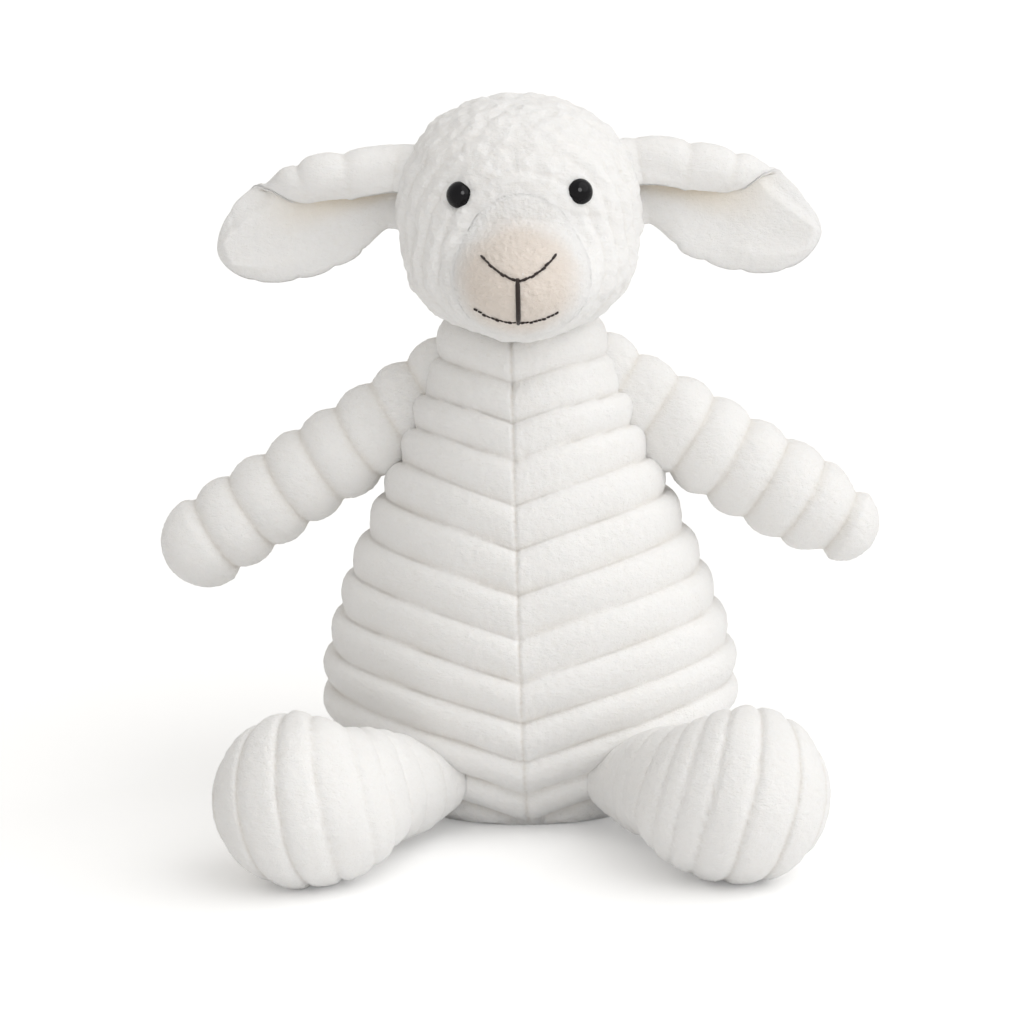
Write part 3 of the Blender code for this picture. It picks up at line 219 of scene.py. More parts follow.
def sewn_form(name, rings, finish, first=None, last=None, crease=None, stain_and_hollow_shade=None, fluff=0.00022):
    """A closed form through rings of points; a pole not given is the middle of its ring."""
    rows, columns, _ = rings.shape
    index = np.arange(rows * columns).reshape(rows, columns)
    beside = np.roll(index, -1, axis=1)
    faces = np.stack((index[:-1], beside[:-1], beside[1:], index[1:]), axis=-1)
    faces = faces.reshape(-1, 4).tolist()
    points = rings.reshape(-1, 3)
    ends = []
    for pole, ring, around in ((first, rings[0], index[0]), (last, rings[-1], index[-1][::-1])):
        around = around.tolist()
        top = len(points) + len(ends)
        ends.append(ring.mean(axis=0) if pole is None else pole)
        faces += [(top, around[(k + 1) % columns], around[k]) for k in range(columns)]
    points = np.concatenate((points, np.array(ends)))
    corners = points[[face[:3] for face in faces[:-2 * columns]]]
    volume = np.einsum("ij,ij->i", corners[:, 0], np.cross(corners[:, 1], corners[:, 2])).sum()
    if volume < 0.0:
        faces = [face[::-1] for face in faces]
    mesh = bpy.data.meshes.new(name)
    mesh.from_pydata(points.tolist(), [], faces)
    mesh.update()
    # crease holds the shade painted into creases and seams; stain holds the muzzle's stain and the
    # painted shade of the ear lining's hollow.
    for label, value in (("crease", crease), ("stain_and_hollow_shade", stain_and_hollow_shade)):
        whole = np.zeros(len(points))
        if value is not None:
            whole[:rows * columns] = np.clip(value, 0.0, 1.0).reshape(-1)
        mesh.attributes.new(label, "FLOAT", "POINT").data.foreach_set("value", whole)
    if fluff:
        normals = np.empty(len(points) * 3)
        mesh.vertices.foreach_get("normal", normals)
        raised = fluff * (wander(points, TUFT, 1.0) + FINE_SHARE * wander(points, FINE_TUFT, 2.0))
        points = points + normals.reshape(-1, 3) * raised[:, None]
        mesh.vertices.foreach_set("co", points.reshape(-1))
    mesh.shade_smooth()
    mesh.materials.append(finish)
    return placed(name, mesh)


def oval_rings(turn, steps, middle=0.0):
    """Level rings from their half-widths, half-depths and heights."""
    return np.array([np.stack((wide * np.sin(turn), middle - deep * np.cos(turn),
                               np.full_like(turn, high)), axis=-1) for wide, deep, high in steps])


def body_half_sizes(height):
    """Half-width and half-depth over the crests of the ribs."""
    swell = curve_through(BODY_TAPER, (height - BELLY_HIGH) / (NECK[2] - BELLY_HIGH))
    tuck = (1.0 - (1.0 - np.clip(height / BELLY_HIGH, 0.0, 1.0)) ** 2) ** BELLY_TUCK
    cap = np.sqrt(np.clip(NECK_ROUND ** 2 - (height - NECK[2]) ** 2, 0.0, None))

    def half(belly, seat):
        side = np.where(height < BELLY_HIGH, seat + (belly - seat) * tuck,
                        NECK_ROUND + (belly - NECK_ROUND) * swell)
        return np.where(height > NECK[2], cap, side)

    return half(BELLY_WIDE, SEAT_WIDE), half(BELLY_DEEP, SEAT_DEEP)


def body_ahead(height):
    """How far the middle of the body has moved forward at a height."""
    return -NECK[1] * np.clip((height - BELLY_HIGH) / (NECK[2] - BELLY_HIGH), 0.0, 1.0)


def body_place(height, turn, sunk):
    """A place on the body at a turn from the front seam, sunk below the crests."""
    wide, deep = body_half_sizes(height)
    step = 0.0003
    slope = (body_half_sizes(np.maximum(height - step, 0.0))[0]
             - body_half_sizes(np.minimum(height + step, NECK[2]))[0]) / (2.0 * step)
    lean = np.where(height > NECK[2], (height - NECK[2]) / NECK_ROUND,
                    slope / np.hypot(1.0, slope))
    out = np.sqrt(np.clip(1.0 - lean ** 2, 0.0, 1.0))
    return np.stack(((wide - sunk * out) * np.sin(turn),
                     -body_ahead(height) - (deep - sunk * out) * np.cos(turn),
                     height - sunk * lean), axis=-1)


BODY_TOP_CREASE, BODY_SIDE_CREASE = 0.1663, 0.1716
BODY_SEAM_PITCH, BODY_SIDE_PITCH = 0.01406, 0.01309
RIBS_LEVEL_FROM = 1.2
RIB_SINK, RIB_SHARPNESS, RIB_SAG, RIB_WANDER, RIB_FADE = 0.0032, 2.0, 0.70, 0.045, 0.25
RIB_SLIP = 0.45
BODY_LUMPS = 0.0005
SEAM_SINK, SEAM_WIDE, SEAM_DRIFT, STITCH_PITCH = 0.0007, 0.0008, 0.0024, 0.0026
BODY_COLUMNS, SEAM_CROWDING = 420, 0.3
FIRST_RIB, LAST_RIB, ROWS_PER_RIB = -1.0, 14.0, 16
ROW_GAP, RIM_HIGH = 0.00003, 0.0012
# Half-width, half-depth and height of each ring.
UNDER_EDGE = ((0.0447, 0.0397, 0.0004), (0.0438, 0.0388, 0.0), (0.0415, 0.0365, 0.0),
              (0.0403, 0.0353, 0.0008), (0.0402, 0.0352, 0.0036))


def body_creases(turn):
    """Height of the top crease, and the step from rib to rib, at a turn from the seam."""
    around = np.abs(np.arctan2(np.sin(turn), np.cos(turn)))
    around = np.minimum(around, math.pi - around)
    rise = 1.0 - (1.0 - np.clip(around / RIBS_LEVEL_FROM, 0.0, 1.0)) ** 2
    return (BODY_TOP_CREASE + (BODY_SIDE_CREASE - BODY_TOP_CREASE) * rise,
            BODY_SEAM_PITCH + (BODY_SIDE_PITCH - BODY_SEAM_PITCH) * rise)


def slipped(count, front):
    """The count of ribs, with the upper ones hanging lower than their even steps."""
    middle, reach = 1.5 - 0.5 * front, 1.8 - 0.45 * front
    return count - RIB_SLIP * np.exp(-((count - middle) / reach) ** 2)


def body_form():
    """Rings of the body from the socket of the neck, over the ribs, to under the seat."""
    turn = turns_of(BODY_COLUMNS)
    turn = turn - SEAM_CROWDING * np.sin(2.0 * turn)
    front = np.maximum(np.cos(turn), 0.0) ** 2
    counts = np.arange(FIRST_RIB, LAST_RIB, 1.0 / ROWS_PER_RIB)
    rows = len(counts)
    row = np.arange(rows)[:, None]
    top, pitch = body_creases(turn)
    height = top - pitch * counts[:, None]
    height = np.minimum(height, NECK[2] + NECK_ROUND * math.cos(NECK_OPENING) - ROW_GAP * row)
    height = np.maximum(height, RIM_HIGH + ROW_GAP * (rows - 1 - row))
    wide, _ = body_half_sizes(height)
    turns = turn - SEAM_DRIFT * np.clip(height / NECK[2], 0.0, 1.0) * front / wide
    plain = body_place(height, turns, 0.0)
    count = slipped((top - height) / pitch, front)
    crease = crease_of(count + RIB_WANDER * wander(plain, 0.030, 3.0), RIB_SHARPNESS, RIB_SAG)
    crease = crease * (1.0 + RIB_FADE * wander(plain, 0.018, 4.0))
    seam = np.exp(-(np.sin(turn) * wide / SEAM_WIDE) ** 2)
    swell = BODY_LUMPS * wander(plain, 0.022, 5.0)
    outer = body_place(height, turns, RIB_SINK * crease + SEAM_SINK * seam - swell)
    socket = [(SOCKET_ROUND * math.sin(away), SOCKET_ROUND * math.sin(away),
               NECK[2] + SOCKET_ROUND * math.cos(away))
              for away in np.linspace(math.pi, NECK_OPENING, 14)[1:]]
    rings = np.concatenate((oval_rings(turn, socket, NECK[1]), outer,
                            oval_rings(turn, UNDER_EDGE)))
    shade = np.zeros(rings.shape[:2])
    stitch = 0.5 + 0.5 * np.sin(height * 2.0 * math.pi / STITCH_PITCH)
    # Shade painted into the rib creases, and along the seam dark dashes of its stitches over
    # painted shade in its groove.
    shade[len(socket):len(socket) + rows] = np.maximum(0.8 * crease ** 3,
                                                       (0.4 + 0.6 * stitch) * seam ** 2)
    return rings, shade


white_pile = pile_finish("white_ribbed_pile", WHITE_PILE, PAINTED_CREASE_SHADE, PAINTED_CREASE_SHADE)
rings, shade = body_form()
body_cover = sewn_form("body_cover", rings, white_pile, (0.0, NECK[1], NECK[2] - SOCKET_ROUND),
                       (0.0, 0.0, UNDER_EDGE[-1][2]), crease=shade)
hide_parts("left_body_panel", "right_body_panel", "body_stuffing",
            "seat_pellet_bag")
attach(body_cover, "body")


# Seat: the flat oval of the same cloth that closes the body below and carries its weight.
# It is sewn in round its edge, a little smaller than the rim of the body.
SEAT_FLAT_WIDE, SEAT_FLAT_DEEP = 0.0392, 0.0342
SEAT_EDGE = ((0.0397, 0.0347, 0.0006), (0.0397, 0.0347, 0.0026), (0.0390, 0.0340, 0.0031))
seat_steps = [(SEAT_FLAT_WIDE * share, SEAT_FLAT_DEEP * share, 0.0)
              for share in np.linspace(0.05, 1.0, 24)]
seat_rings = oval_rings(turns_of(180), seat_steps + list(SEAT_EDGE))
seat_cover = sewn_form("seat_cover", seat_rings, white_pile, (0.0, 0.0, 0.0),
                       (0.0, 0.0, SEAT_EDGE[-1][2]), fluff=0.0)
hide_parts("seat_panel")
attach(seat_cover, "body")


# Neck: a round plug of stuffing under cloth, held in the socket of the body. The head is
# sewn on over it, and turns and nods round its middle.
PLUG_ROUND, PLUG_CAP_ROUND = 0.0242, 0.0307
CAP_CLEARANCE, CAP_SLOPE, PLUG_POLE = 0.02, 0.045, 0.02


def neck_rings():
    """A ball that widens to a cap above the body's opening."""
    turn = turns_of(120)
    rings = []
    for away in np.linspace(PLUG_POLE, math.pi - PLUG_POLE, 70):
        cap = eased((NECK_OPENING - CAP_CLEARANCE - away) / CAP_SLOPE)
        radius = PLUG_ROUND + (PLUG_CAP_ROUND - PLUG_ROUND) * cap
        rings.append(NECK + radius * np.stack((math.sin(away) * np.cos(turn),
                                               math.sin(away) * np.sin(turn),
                                               np.full_like(turn, math.cos(away))), axis=-1))
    return np.array(rings)


neck_plug = sewn_form("neck_plug", neck_rings(), white_pile, NECK + (0.0, 0.0, PLUG_CAP_ROUND),
                      NECK - (0.0, 0.0, PLUG_ROUND), fluff=0.0001)
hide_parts("neck_stuffing")
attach(neck_plug, "neck")


# Head: a ball with full cheeks and a muzzle, in the same ribbed cloth. The ribs run in
# rings round the face, two halves meet over the forehead, and the eyes pull it in a little.
HEAD = np.array((0.0, -0.0120, 0.1995))
HEAD_ROUND = 0.0402
CHEEKS = ((0.0, -0.0245, 0.1852), (0.0368, 0.0335, 0.0232))
MUZZLE = ((0.0, -0.0420, 0.1825), (0.0250, 0.0355, 0.0198))
SWELL_BLEND = 0.0060
FACE_TILT = math.radians(10.0)
MUZZLE_SEAM = math.radians(26.0)
HEAD_RIB = math.radians(11.0)
HEAD_RIB_SINK, HEAD_RIB_SHARPNESS, HEAD_RIB_WANDER = 0.0013, 1.7, 0.16
HEAD_RIB_START = math.radians(9.0)
CROWN_SMOOTHING, CROWN_SIDE_SWELL = 0.70, 0.0015
HEAD_SEAM_SINK, HEAD_SEAM_WIDE = 0.0003, 0.0024
HEAD_LUMPS, HEAD_CURLS = 0.0006, 0.0008
EYE_PULL, EYE_PULL_SPREAD = 0.0012, 0.014
HEAD_TURN = math.radians(3.0)
FACE_COLUMNS = 300
SIDES = {"right": -1.0, "left": 1.0}
EYE_WAYS = {side: unit(np.array((sign * 0.0206, -0.0340, 0.0112)))
            for side, sign in SIDES.items()}
STAINED_MUZZLE = (0.80, 0.72, 0.645)


def faced(points):
    """Turns points or a place of the head a little to its left, as it sits on the neck."""
    turned = Matrix.Rotation(HEAD_TURN, 3, "Z")
    middle = np.array((NECK[0], NECK[1], 0.0))
    return (points - middle) @ np.array(turned).T + middle


def reach_of(ways, swelling):
    """How far a swelling reaches from the head's middle, or 0 where it is missed."""
    centre, sizes = np.array(swelling[0]), np.array(swelling[1])
    ray = ways / sizes
    start = (centre - HEAD) / sizes
    along = ray @ start
    square = (ray * ray).sum(axis=-1)
    inside = along ** 2 - square * (start @ start - 1.0)
    return np.where(inside > 0.0, (along + np.sqrt(np.maximum(inside, 0.0))) / square, 0.0)


def rounded_max(first, second):
    """The larger of two reaches, with the fold between them filled."""
    overlap = np.maximum(SWELL_BLEND - np.abs(first - second), 0.0)
    return np.maximum(first, second) + overlap ** 2 / (4.0 * SWELL_BLEND)


def head_reach(ways):
    """From the head's middle to the crests of its ribs."""
    return rounded_max(rounded_max(np.full(ways.shape[:-1], HEAD_ROUND), reach_of(ways, CHEEKS)),
                       reach_of(ways, MUZZLE))


def face_ways(away, around):
    """Directions at an angle from the middle of the face, turned round it from the top."""
    ahead = np.array((0.0, -math.cos(FACE_TILT), -math.sin(FACE_TILT)))
    upward = np.array((0.0, -math.sin(FACE_TILT), math.cos(FACE_TILT)))
    side = np.array((1.0, 0.0, 0.0))
    ring = np.cos(around)[..., None] * upward + np.sin(around)[..., None] * side
    return np.cos(away)[..., None] * ahead + np.sin(away)[..., None] * ring


def head_surface(away, around):
    """Points of the head's skin, with the shade painted where they lie in a crease or along the
    seam.
    """
    ways = face_ways(away, around)
    crest = HEAD + ways * head_reach(ways)[..., None]
    phase = (away - MUZZLE_SEAM) / HEAD_RIB + HEAD_RIB_WANDER * wander(crest, 0.014, 6.0)
    fade = eased((away - MUZZLE_SEAM) / HEAD_RIB_START)
    crease = 1.0 + (crease_of(phase, HEAD_RIB_SHARPNESS) - 1.0) * fade
    crown = np.clip(ways[..., 2], 0.0, 1.0)
    crease = 1.0 + (crease - 1.0) * (1.0 - CROWN_SMOOTHING * eased(crown / 0.7))
    seam = np.exp(-(crest[..., 0] / HEAD_SEAM_WIDE) ** 2) * fade * eased(crown / 0.5)
    pull = sum(np.exp(-((ways - way) ** 2).sum(axis=-1) / EYE_PULL_SPREAD)
               for way in EYE_WAYS.values())
    lumps = HEAD_LUMPS * wander(crest, 0.0085, 7.0) + HEAD_CURLS * wander(crest, 0.0040, 13.0)
    lumps = lumps * (0.25 + 0.75 * eased((away - MUZZLE_SEAM + math.radians(4.0))
                                         / math.radians(14.0)))
    corner = CROWN_SIDE_SWELL * (4.0 * crown ** 2 * (1.0 - crown ** 2)) ** 1.5
    sunk = HEAD_RIB_SINK * crease + HEAD_SEAM_SINK * seam + EYE_PULL * pull - lumps - corner
    # Shade painted into the rib creases, less on the crown, and faintly along the seam.
    shade = np.maximum(0.35 * crease ** 3 * fade * (1.0 - 0.9 * crown), 0.06 * seam)
    return crest - ways * sunk[..., None], shade


def head_form():
    """Rings from the muzzle's seam back to the nape, closed behind the seam."""
    away = np.concatenate(((MUZZLE_SEAM,), np.linspace(MUZZLE_SEAM + 0.0008, math.pi - 0.01, 190)))
    outer, shade = head_surface(*np.meshgrid(away, turns_of(FACE_COLUMNS), indexing="ij"))
    inner = np.array([HEAD + (outer[0] - HEAD) * share for share in (0.85, 0.92, 0.985)])
    shade = np.concatenate((np.zeros(inner.shape[:2]), shade))
    return faced(np.concatenate((inner, outer))), shade


rings, shade = head_form()
nape = faced(HEAD + face_ways(np.array(math.pi), np.array(0.0)) * (HEAD_ROUND - HEAD_RIB_SINK))
head_cover = sewn_form("head_cover", rings, white_pile, last=nape, crease=shade, fluff=0.00030)
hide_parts("left_head_panel", "right_head_panel", "head_stuffing")
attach(head_cover, "head")


# Muzzle: a smooth panel of shorter pile over nose, mouth and chin, sewn edge to edge into
# the head, with a soft beige shade sprayed over its middle.
MUZZLE_EDGE = ((0.005, 0.0001), (0.012, 0.0006), (0.020, 0.0018), (0.028, 0.0036))
STAIN_MIDDLE, STAIN_SIZES = (-0.0018, -0.074, 0.1862), (0.0200, 0.040, 0.0195)
STAIN_CORE, STAIN_FADE, STAIN_WANDER = 0.66, 0.52, 0.08


def muzzle_form():
    """Rings from the middle of the face to the seam and under the head's edge."""
    past, tucked = np.array(MUZZLE_EDGE).T
    away = np.concatenate((np.linspace(0.006, MUZZLE_SEAM, 66), MUZZLE_SEAM + past))
    outer, _ = head_surface(*np.meshgrid(away, turns_of(FACE_COLUMNS), indexing="ij"))
    outer[-len(past):] -= unit(outer[-len(past):] - HEAD) * tucked[:, None, None]
    gap = np.linalg.norm((outer - STAIN_MIDDLE) / STAIN_SIZES, axis=-1)
    gap = gap - STAIN_CORE + STAIN_WANDER * wander(outer, 0.009, 15.0)
    return faced(outer), 1.0 - eased(gap / STAIN_FADE)


muzzle_pile = pile_finish("muzzle_short_pile", WHITE_PILE, PAINTED_CREASE_SHADE, STAINED_MUZZLE,
                          relief=0.0011)
rings, stain_and_hollow_shade = muzzle_form()
muzzle_cover = sewn_form("muzzle_cover", rings, muzzle_pile, stain_and_hollow_shade=stain_and_hollow_shade, fluff=0.00030)
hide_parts("muzzle_panel")
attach(muzzle_cover, "head")


# Face stitching: dark brown thread pulled into the pile. The nose is a line that dips in
# the middle, the cleft is a thicker bar of satin stitch, and the mouth is backstitch.
def on_muzzle(sideways, height, lift):
    """A place on the muzzle's front at a distance to the side and a height."""
    low, high = 0.012, 0.095
    for _ in range(40):
        middle = (low + high) / 2.0
        way = np.array((sideways, -middle, height)) - HEAD
        distance = np.linalg.norm(way)
        inside = distance < float(head_reach(way / distance)) - HEAD_RIB_SINK + lift
        low, high = (middle, high) if inside else (low, middle)
    return faced(np.array((sideways, -low, height)))


def bowed_line(half, middle, low, rise=0.0, curve=1.0, tilt=0.0):
    """Places along a line of stitches whose ends may rise, for shares from -1 to 1."""
    def place(share, lift):
        height = low + rise * abs(share) ** curve + tilt * share
        return on_muzzle(half * share + middle, height, lift)
    return place


def thread_rings(route, radius):
    """Rings round a thread, drawn in at both ends."""
    route = np.array(route)
    ahead = unit(np.gradient(route, axis=0))
    outward = unit(route - faced(HEAD))
    beside = unit(np.cross(ahead, outward))
    outward = np.cross(beside, ahead)
    turn = turns_of(12)
    ends = np.minimum(np.arange(len(route)), np.arange(len(route))[::-1]) / 2.0
    width = radius * np.sqrt(1.0 - (1.0 - np.clip(ends + 0.25, 0.0, 1.0)) ** 2)
    return (route[:, None] + width[:, None, None]
            * (np.cos(turn)[None, :, None] * beside[:, None]
               + np.sin(turn)[None, :, None] * outward[:, None]))


def joined(name, forms):
    """Makes one object of several closed forms."""
    bpy.ops.object.select_all(action="DESELECT")
    for form in forms:
        form.select_set(True)
    bpy.context.view_layer.objects.active = forms[0]
    bpy.ops.object.join()
    forms[0].name = name
    return forms[0]


STITCH_POINTS = 9


def stitches(name, place, cuts, radius, node, gap=-0.04, stray=0.0):
    """Short stitches along a line, each a little off it and a little thicker or thinner."""
    forms = []
    across = np.linspace(-1.0, 1.0, STITCH_POINTS)
    bow = np.sin(np.linspace(0.0, math.pi, STITCH_POINTS)) * 0.4 - 0.4
    for number, (first, last) in enumerate(zip(cuts[:-1], cuts[1:])):
        inset = (last - first) * gap * (1.0 + 0.6 * math.sin(3.1 * number))
        shares = np.linspace(first + inset, last - inset, STITCH_POINTS)
        slant = stray * (math.sin(2.3 * number) + across * math.cos(5.7 * number))
        thick = radius * (1.0 + 0.18 * math.sin(4.1 * number))
        route = [place(share, radius * (0.35 + dip)) + np.array((0.0, 0.0, off))
                 for share, dip, off in zip(shares, bow, slant)]
        forms.append(sewn_form(name, thread_rings(route, thick), dark_thread,
                               route[0], route[-1], fluff=0.0))
    line = joined(name, forms)
    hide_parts(node)
    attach(line, "head")


def mottled_finish(name, scale, low, high, detail=2.0, **constants):
    """A finish whose colour wavers between two, and the noise that moves it."""
    finish, shader, wire = new_finish(name, **constants)
    place = wire.add("ShaderNodeTexCoord", out=3)
    cloud = wire.noise(place, scale, Detail=detail)
    cloud.blend(low, high).feed(shader, "Base Color")
    return finish, shader, cloud


dark_thread, shader, plies = mottled_finish(
    "dark_thread", 2600.0, (0.008, 0.005, 0.004), (0.045, 0.030, 0.025), Roughness=0.72,
    Sheen_Weight=0.15, Specular_IOR_Level=0.25)
plies.add("ShaderNodeBump", None, {
    "Height": plies, "Strength": 0.6, "Distance": 0.0003}).feed(shader, "Normal")
stitches("nose_line", bowed_line(0.0116, -0.0011, 0.1866, rise=0.0066, curve=1.7),
         np.linspace(-1.0, 1.0, 21), 0.00040, "nose_thread", stray=0.00013)
stitches("cleft_line", bowed_line(0.0, -0.0017, 0.1866, tilt=-0.0138),
         np.linspace(0.0, 1.0, 2), 0.00076, "cleft_thread")
stitches("mouth_line", bowed_line(0.0132, -0.0023, 0.1727, rise=0.0036, curve=2.2, tilt=-0.0006),
         np.linspace(-1.0, 1.0, 21), 0.00036, "mouth_thread", gap=0.08, stray=0.00012)


# Eyes: black plastic domes, each on a shank that goes through the cloth into a washer
# inside the head. They stand a little into the pile.
EYE_ROUND, EYE_DOME, EYE_SET_IN, SHANK_LONG = 0.0043, 0.0037, 0.0020, 0.0080
EYE_STEM = ((EYE_ROUND, -0.0003), (0.0040, -0.0006), (0.0014, -0.0007), (0.0014, -0.0079))


def turned_rings(profile, centre, axis, columns):
    """Rings of a turned piece from its radii and places along the axis."""
    across = unit(np.cross(axis, np.array((0.0, 0.6, 0.8))))
    beside = np.cross(axis, across)
    turn = turns_of(columns)[:, None]
    return np.array([centre + axis * along
                     + radius * (np.cos(turn) * across + np.sin(turn) * beside)
                     for radius, along in profile])


black_plastic, shader, haze = mottled_finish(
    "black_eye_plastic", 350.0, (0.003, 0.003, 0.004), (0.007, 0.006, 0.007), detail=3.0,
    Roughness=0.08, Specular_IOR_Level=0.14)
(haze * 0.06 + 0.05).feed(shader, "Roughness")
dome = [(EYE_ROUND * math.sin(turn), EYE_DOME * math.cos(turn))
        for turn in np.linspace(0.05, math.pi / 2.0, 22)]
for side, way in EYE_WAYS.items():
    seat = faced(HEAD + way * (float(head_reach(way)) - EYE_SET_IN))
    way = faced(way) - faced(np.zeros(3))
    eye = sewn_form(f"{side}_eye_dome", turned_rings((*dome, *EYE_STEM), seat, way, 48),
                    black_plastic, seat + way * EYE_DOME, seat - way * SHANK_LONG, fluff=0.0)
    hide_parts(f"{side}_eye")
    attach(eye, "head")


# Washers: the pressed plastic discs that lock the shanks of the eyes inside the head. They
# keep the shape of their solids, and only their plastic is made here.
moulded_plastic, _, _ = mottled_finish("washer_plastic", 240.0, (0.50, 0.50, 0.47),
                                       (0.60, 0.60, 0.57), Roughness=0.4)
for side in EYE_WAYS:
    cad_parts[f"{side}_eye_washer"].material_slots[0].material = moulded_plastic


# Ears: a ribbed back cloth that wraps over the rim, and a smooth lining in front of it.
# The upper edge is rolled forward near the head, so the lining lies in a hollow, where warm shade
# is painted on it.
def evenly(*values):
    """Pairs of place and value, with the places in even steps from 0 to 1."""
    return tuple(zip(np.linspace(0.0, 1.0, len(values)), values))


EAR_LONG = 0.0608
EAR_DROOP = {"right": math.radians(18.6), "left": math.radians(17.0)}
# How far the edges lie above and below the ear's line, from its root to its tip.
EAR_UPPER = {
    "right": evenly(0.0143, 0.0153, 0.0169, 0.0180, 0.0181, 0.0176, 0.0171, 0.0176, 0.0160,
                    0.0126, 0.0085),
    "left": evenly(0.0147, 0.0159, 0.0170, 0.0173, 0.0172, 0.0172, 0.0174, 0.0168, 0.0141,
                   0.0105, 0.0070),
}
EAR_LOWER = {
    "right": evenly(0.0118, 0.0131, 0.0143, 0.0153, 0.0162, 0.0165, 0.0161, 0.0150, 0.0131,
                    0.0112, 0.0090),
    "left": evenly(0.0124, 0.0140, 0.0155, 0.0170, 0.0179, 0.0183, 0.0181, 0.0172, 0.0153,
                   0.0134, 0.0110),
}
EAR_ROLLED = ((0.0, 1.0), (0.56, 1.0), (0.64, 0.66), (0.72, 0.22), (0.82, 0.06), (1.0, 0.02))
EAR_ROLL_ROUND = ((0.0, 0.0050), (0.25, 0.0052), (0.40, 0.0042), (0.50, 0.0031), (0.58, 0.0021),
                  (0.68, 0.0012), (1.0, 0.0009))
EAR_FLAP = ((0.0, 0.0082), (0.1, 0.0070), (0.2, 0.0060), (0.35, 0.0056), (0.46, 0.0060),
            (0.53, 0.0050), (0.59, 0.0024), (0.65, 0.0006), (1.0, 0.0003))
EAR_HALF = 0.00235
EAR_CREASES = (-0.21, 0.0, 0.22, 0.43, 0.63, 0.86, 1.13)
EAR_BEHIND, EAR_ABOVE, EAR_PRESSED_IN = 0.0080, 0.0068, 0.0002
EAR_START, EAR_TIP_START, EAR_ROOT_LONG = -0.16, 0.78, 0.062
EAR_UPRIGHT_FROM, EAR_CLOSING_FROM, EAR_BLUNT_FROM = 0.35, 0.8, 0.94
EAR_CUP, EAR_SCALLOP, EAR_RIB_SINK, EAR_SOFTNESS = 0.0040, 0.0009, 0.0009, 0.0004
EAR_BACK_FULL, EAR_BACK_DEEP = 0.0004, 0.0040
LINING_EDGE, LINING_INNER, LINING_OUTER, LINING_GAP = 0.0008, 0.0012, 0.0014, 0.0005
EAR_ROWS, EAR_COLUMNS = 110, 84
# Warm shade painted on the lining in the hollow under the roll.
LINING_HOLLOW_SHADE = (0.79, 0.665, 0.475)


def ear_frame(side):
    """Where the ear is sewn on, and its long, hinge and outward directions."""
    sign = SIDES[side]
    beside = math.sqrt(HEAD_ROUND ** 2 - EAR_BEHIND ** 2 - EAR_ABOVE ** 2)
    outward = unit(np.array((sign * beside, EAR_BEHIND, EAR_ABOVE)))
    root = HEAD + outward * (HEAD_ROUND + EAR_HALF - EAR_PRESSED_IN)
    droop = EAR_DROOP[side]
    along = np.array((sign * math.cos(droop), 0.0, -math.sin(droop)))
    hinge = unit(np.array((-sign * EAR_ABOVE, 0.0, beside)))
    return root, along, hinge, outward


def ear_ribs(share):
    """How many ribs lie between the head and a share of the ear's length."""
    return np.interp(share, EAR_CREASES, range(len(EAR_CREASES)))


def ear_middle(side, scallop):
    """The cloth's middle surface: rows from root to tip, columns from the lower edge up, with the
    painted hollow shade and each row's share.
    """
    root, along, hinge, outward = ear_frame(side)
    upright = np.array((along[2] * -SIDES[side], 0.0, abs(along[0])))
    ahead = np.array((0.0, -1.0, 0.0))
    tip = EAR_TIP_START + (1.0 - EAR_TIP_START) * tip_steps(EAR_ROWS // 3)
    share = np.concatenate((
        np.linspace(EAR_START, EAR_TIP_START, EAR_ROWS - len(tip) + 1)[:-1], tip))
    grid = np.empty((EAR_ROWS, EAR_COLUMNS, 3))
    painted_hollow_shade = np.empty(grid.shape[:2])
    for number, at in enumerate(share):
        across = unit(hinge + (upright - hinge) * eased(at / EAR_UPRIGHT_FROM))
        narrowed = max((at - EAR_CLOSING_FROM) / (1.0 - EAR_CLOSING_FROM), 0.0)
        closing = max(math.sqrt(1.0 - min(narrowed, 1.0) ** 2), 0.02)
        upper = curve_through(EAR_UPPER[side], at) * closing
        lower = curve_through(EAR_LOWER[side], at) * closing
        half = (upper + lower) / 2.0
        half -= scallop * crease_of(ear_ribs(at), 3.0) * eased(at / 0.1) * closing
        rolled = math.pi * curve_through(EAR_ROLLED, at)
        radius = min(curve_through(EAR_ROLL_ROUND, at), half / 2.0)
        flat = 2.0 * half - radius * math.sin(min(rolled, math.pi / 2.0))
        arc = rolled * radius
        length = np.linspace(0.0, flat + arc + curve_through(EAR_FLAP, at), EAR_COLUMNS)
        reach = np.clip(length, 0.0, flat) - half
        cup = EAR_CUP * eased(at / 0.3) * closing ** 2 * np.minimum(reach / half, 0.0) ** 2
        turn = np.clip(length - flat, 0.0, arc) / radius
        last = np.clip(length - flat - arc, 0.0, None)
        up = reach + radius * np.sin(turn) + last * math.cos(rolled)
        out = cup + radius * (1.0 - np.cos(turn)) + last * math.sin(rolled)
        start = root + (along * EAR_LONG if at > 0.0 else outward * EAR_ROOT_LONG) * at
        start = start + across * (upper - lower) / 2.0
        grid[number] = start + up[:, None] * across + out[:, None] * ahead
        # Painted warm shade: strongest under the rolled upper edge near the root, fading towards
        # the tip.
        painted_hollow_shade[number] = eased((reach + half * 0.35) / (half * 0.8)) * (1.0 - eased(at / 0.8))
    return grid, painted_hollow_shade, np.broadcast_to(share[:, None], painted_hollow_shade.shape)


def cloth_normals(grid):
    """Directions square to a cloth's middle surface, towards its back."""
    down = np.gradient(grid, axis=0)
    beside = np.gradient(grid, axis=1)
    normals = unit(np.cross(down, beside))
    return normals * (1.0 if normals[grid.shape[0] // 2, grid.shape[1] // 5, 1] > 0.0 else -1.0)


def loop_rings(back, front):
    """Rings round a flat form from its back and its front, which meet at their edges."""
    return np.concatenate((back, front[:, ::-1]), axis=1)


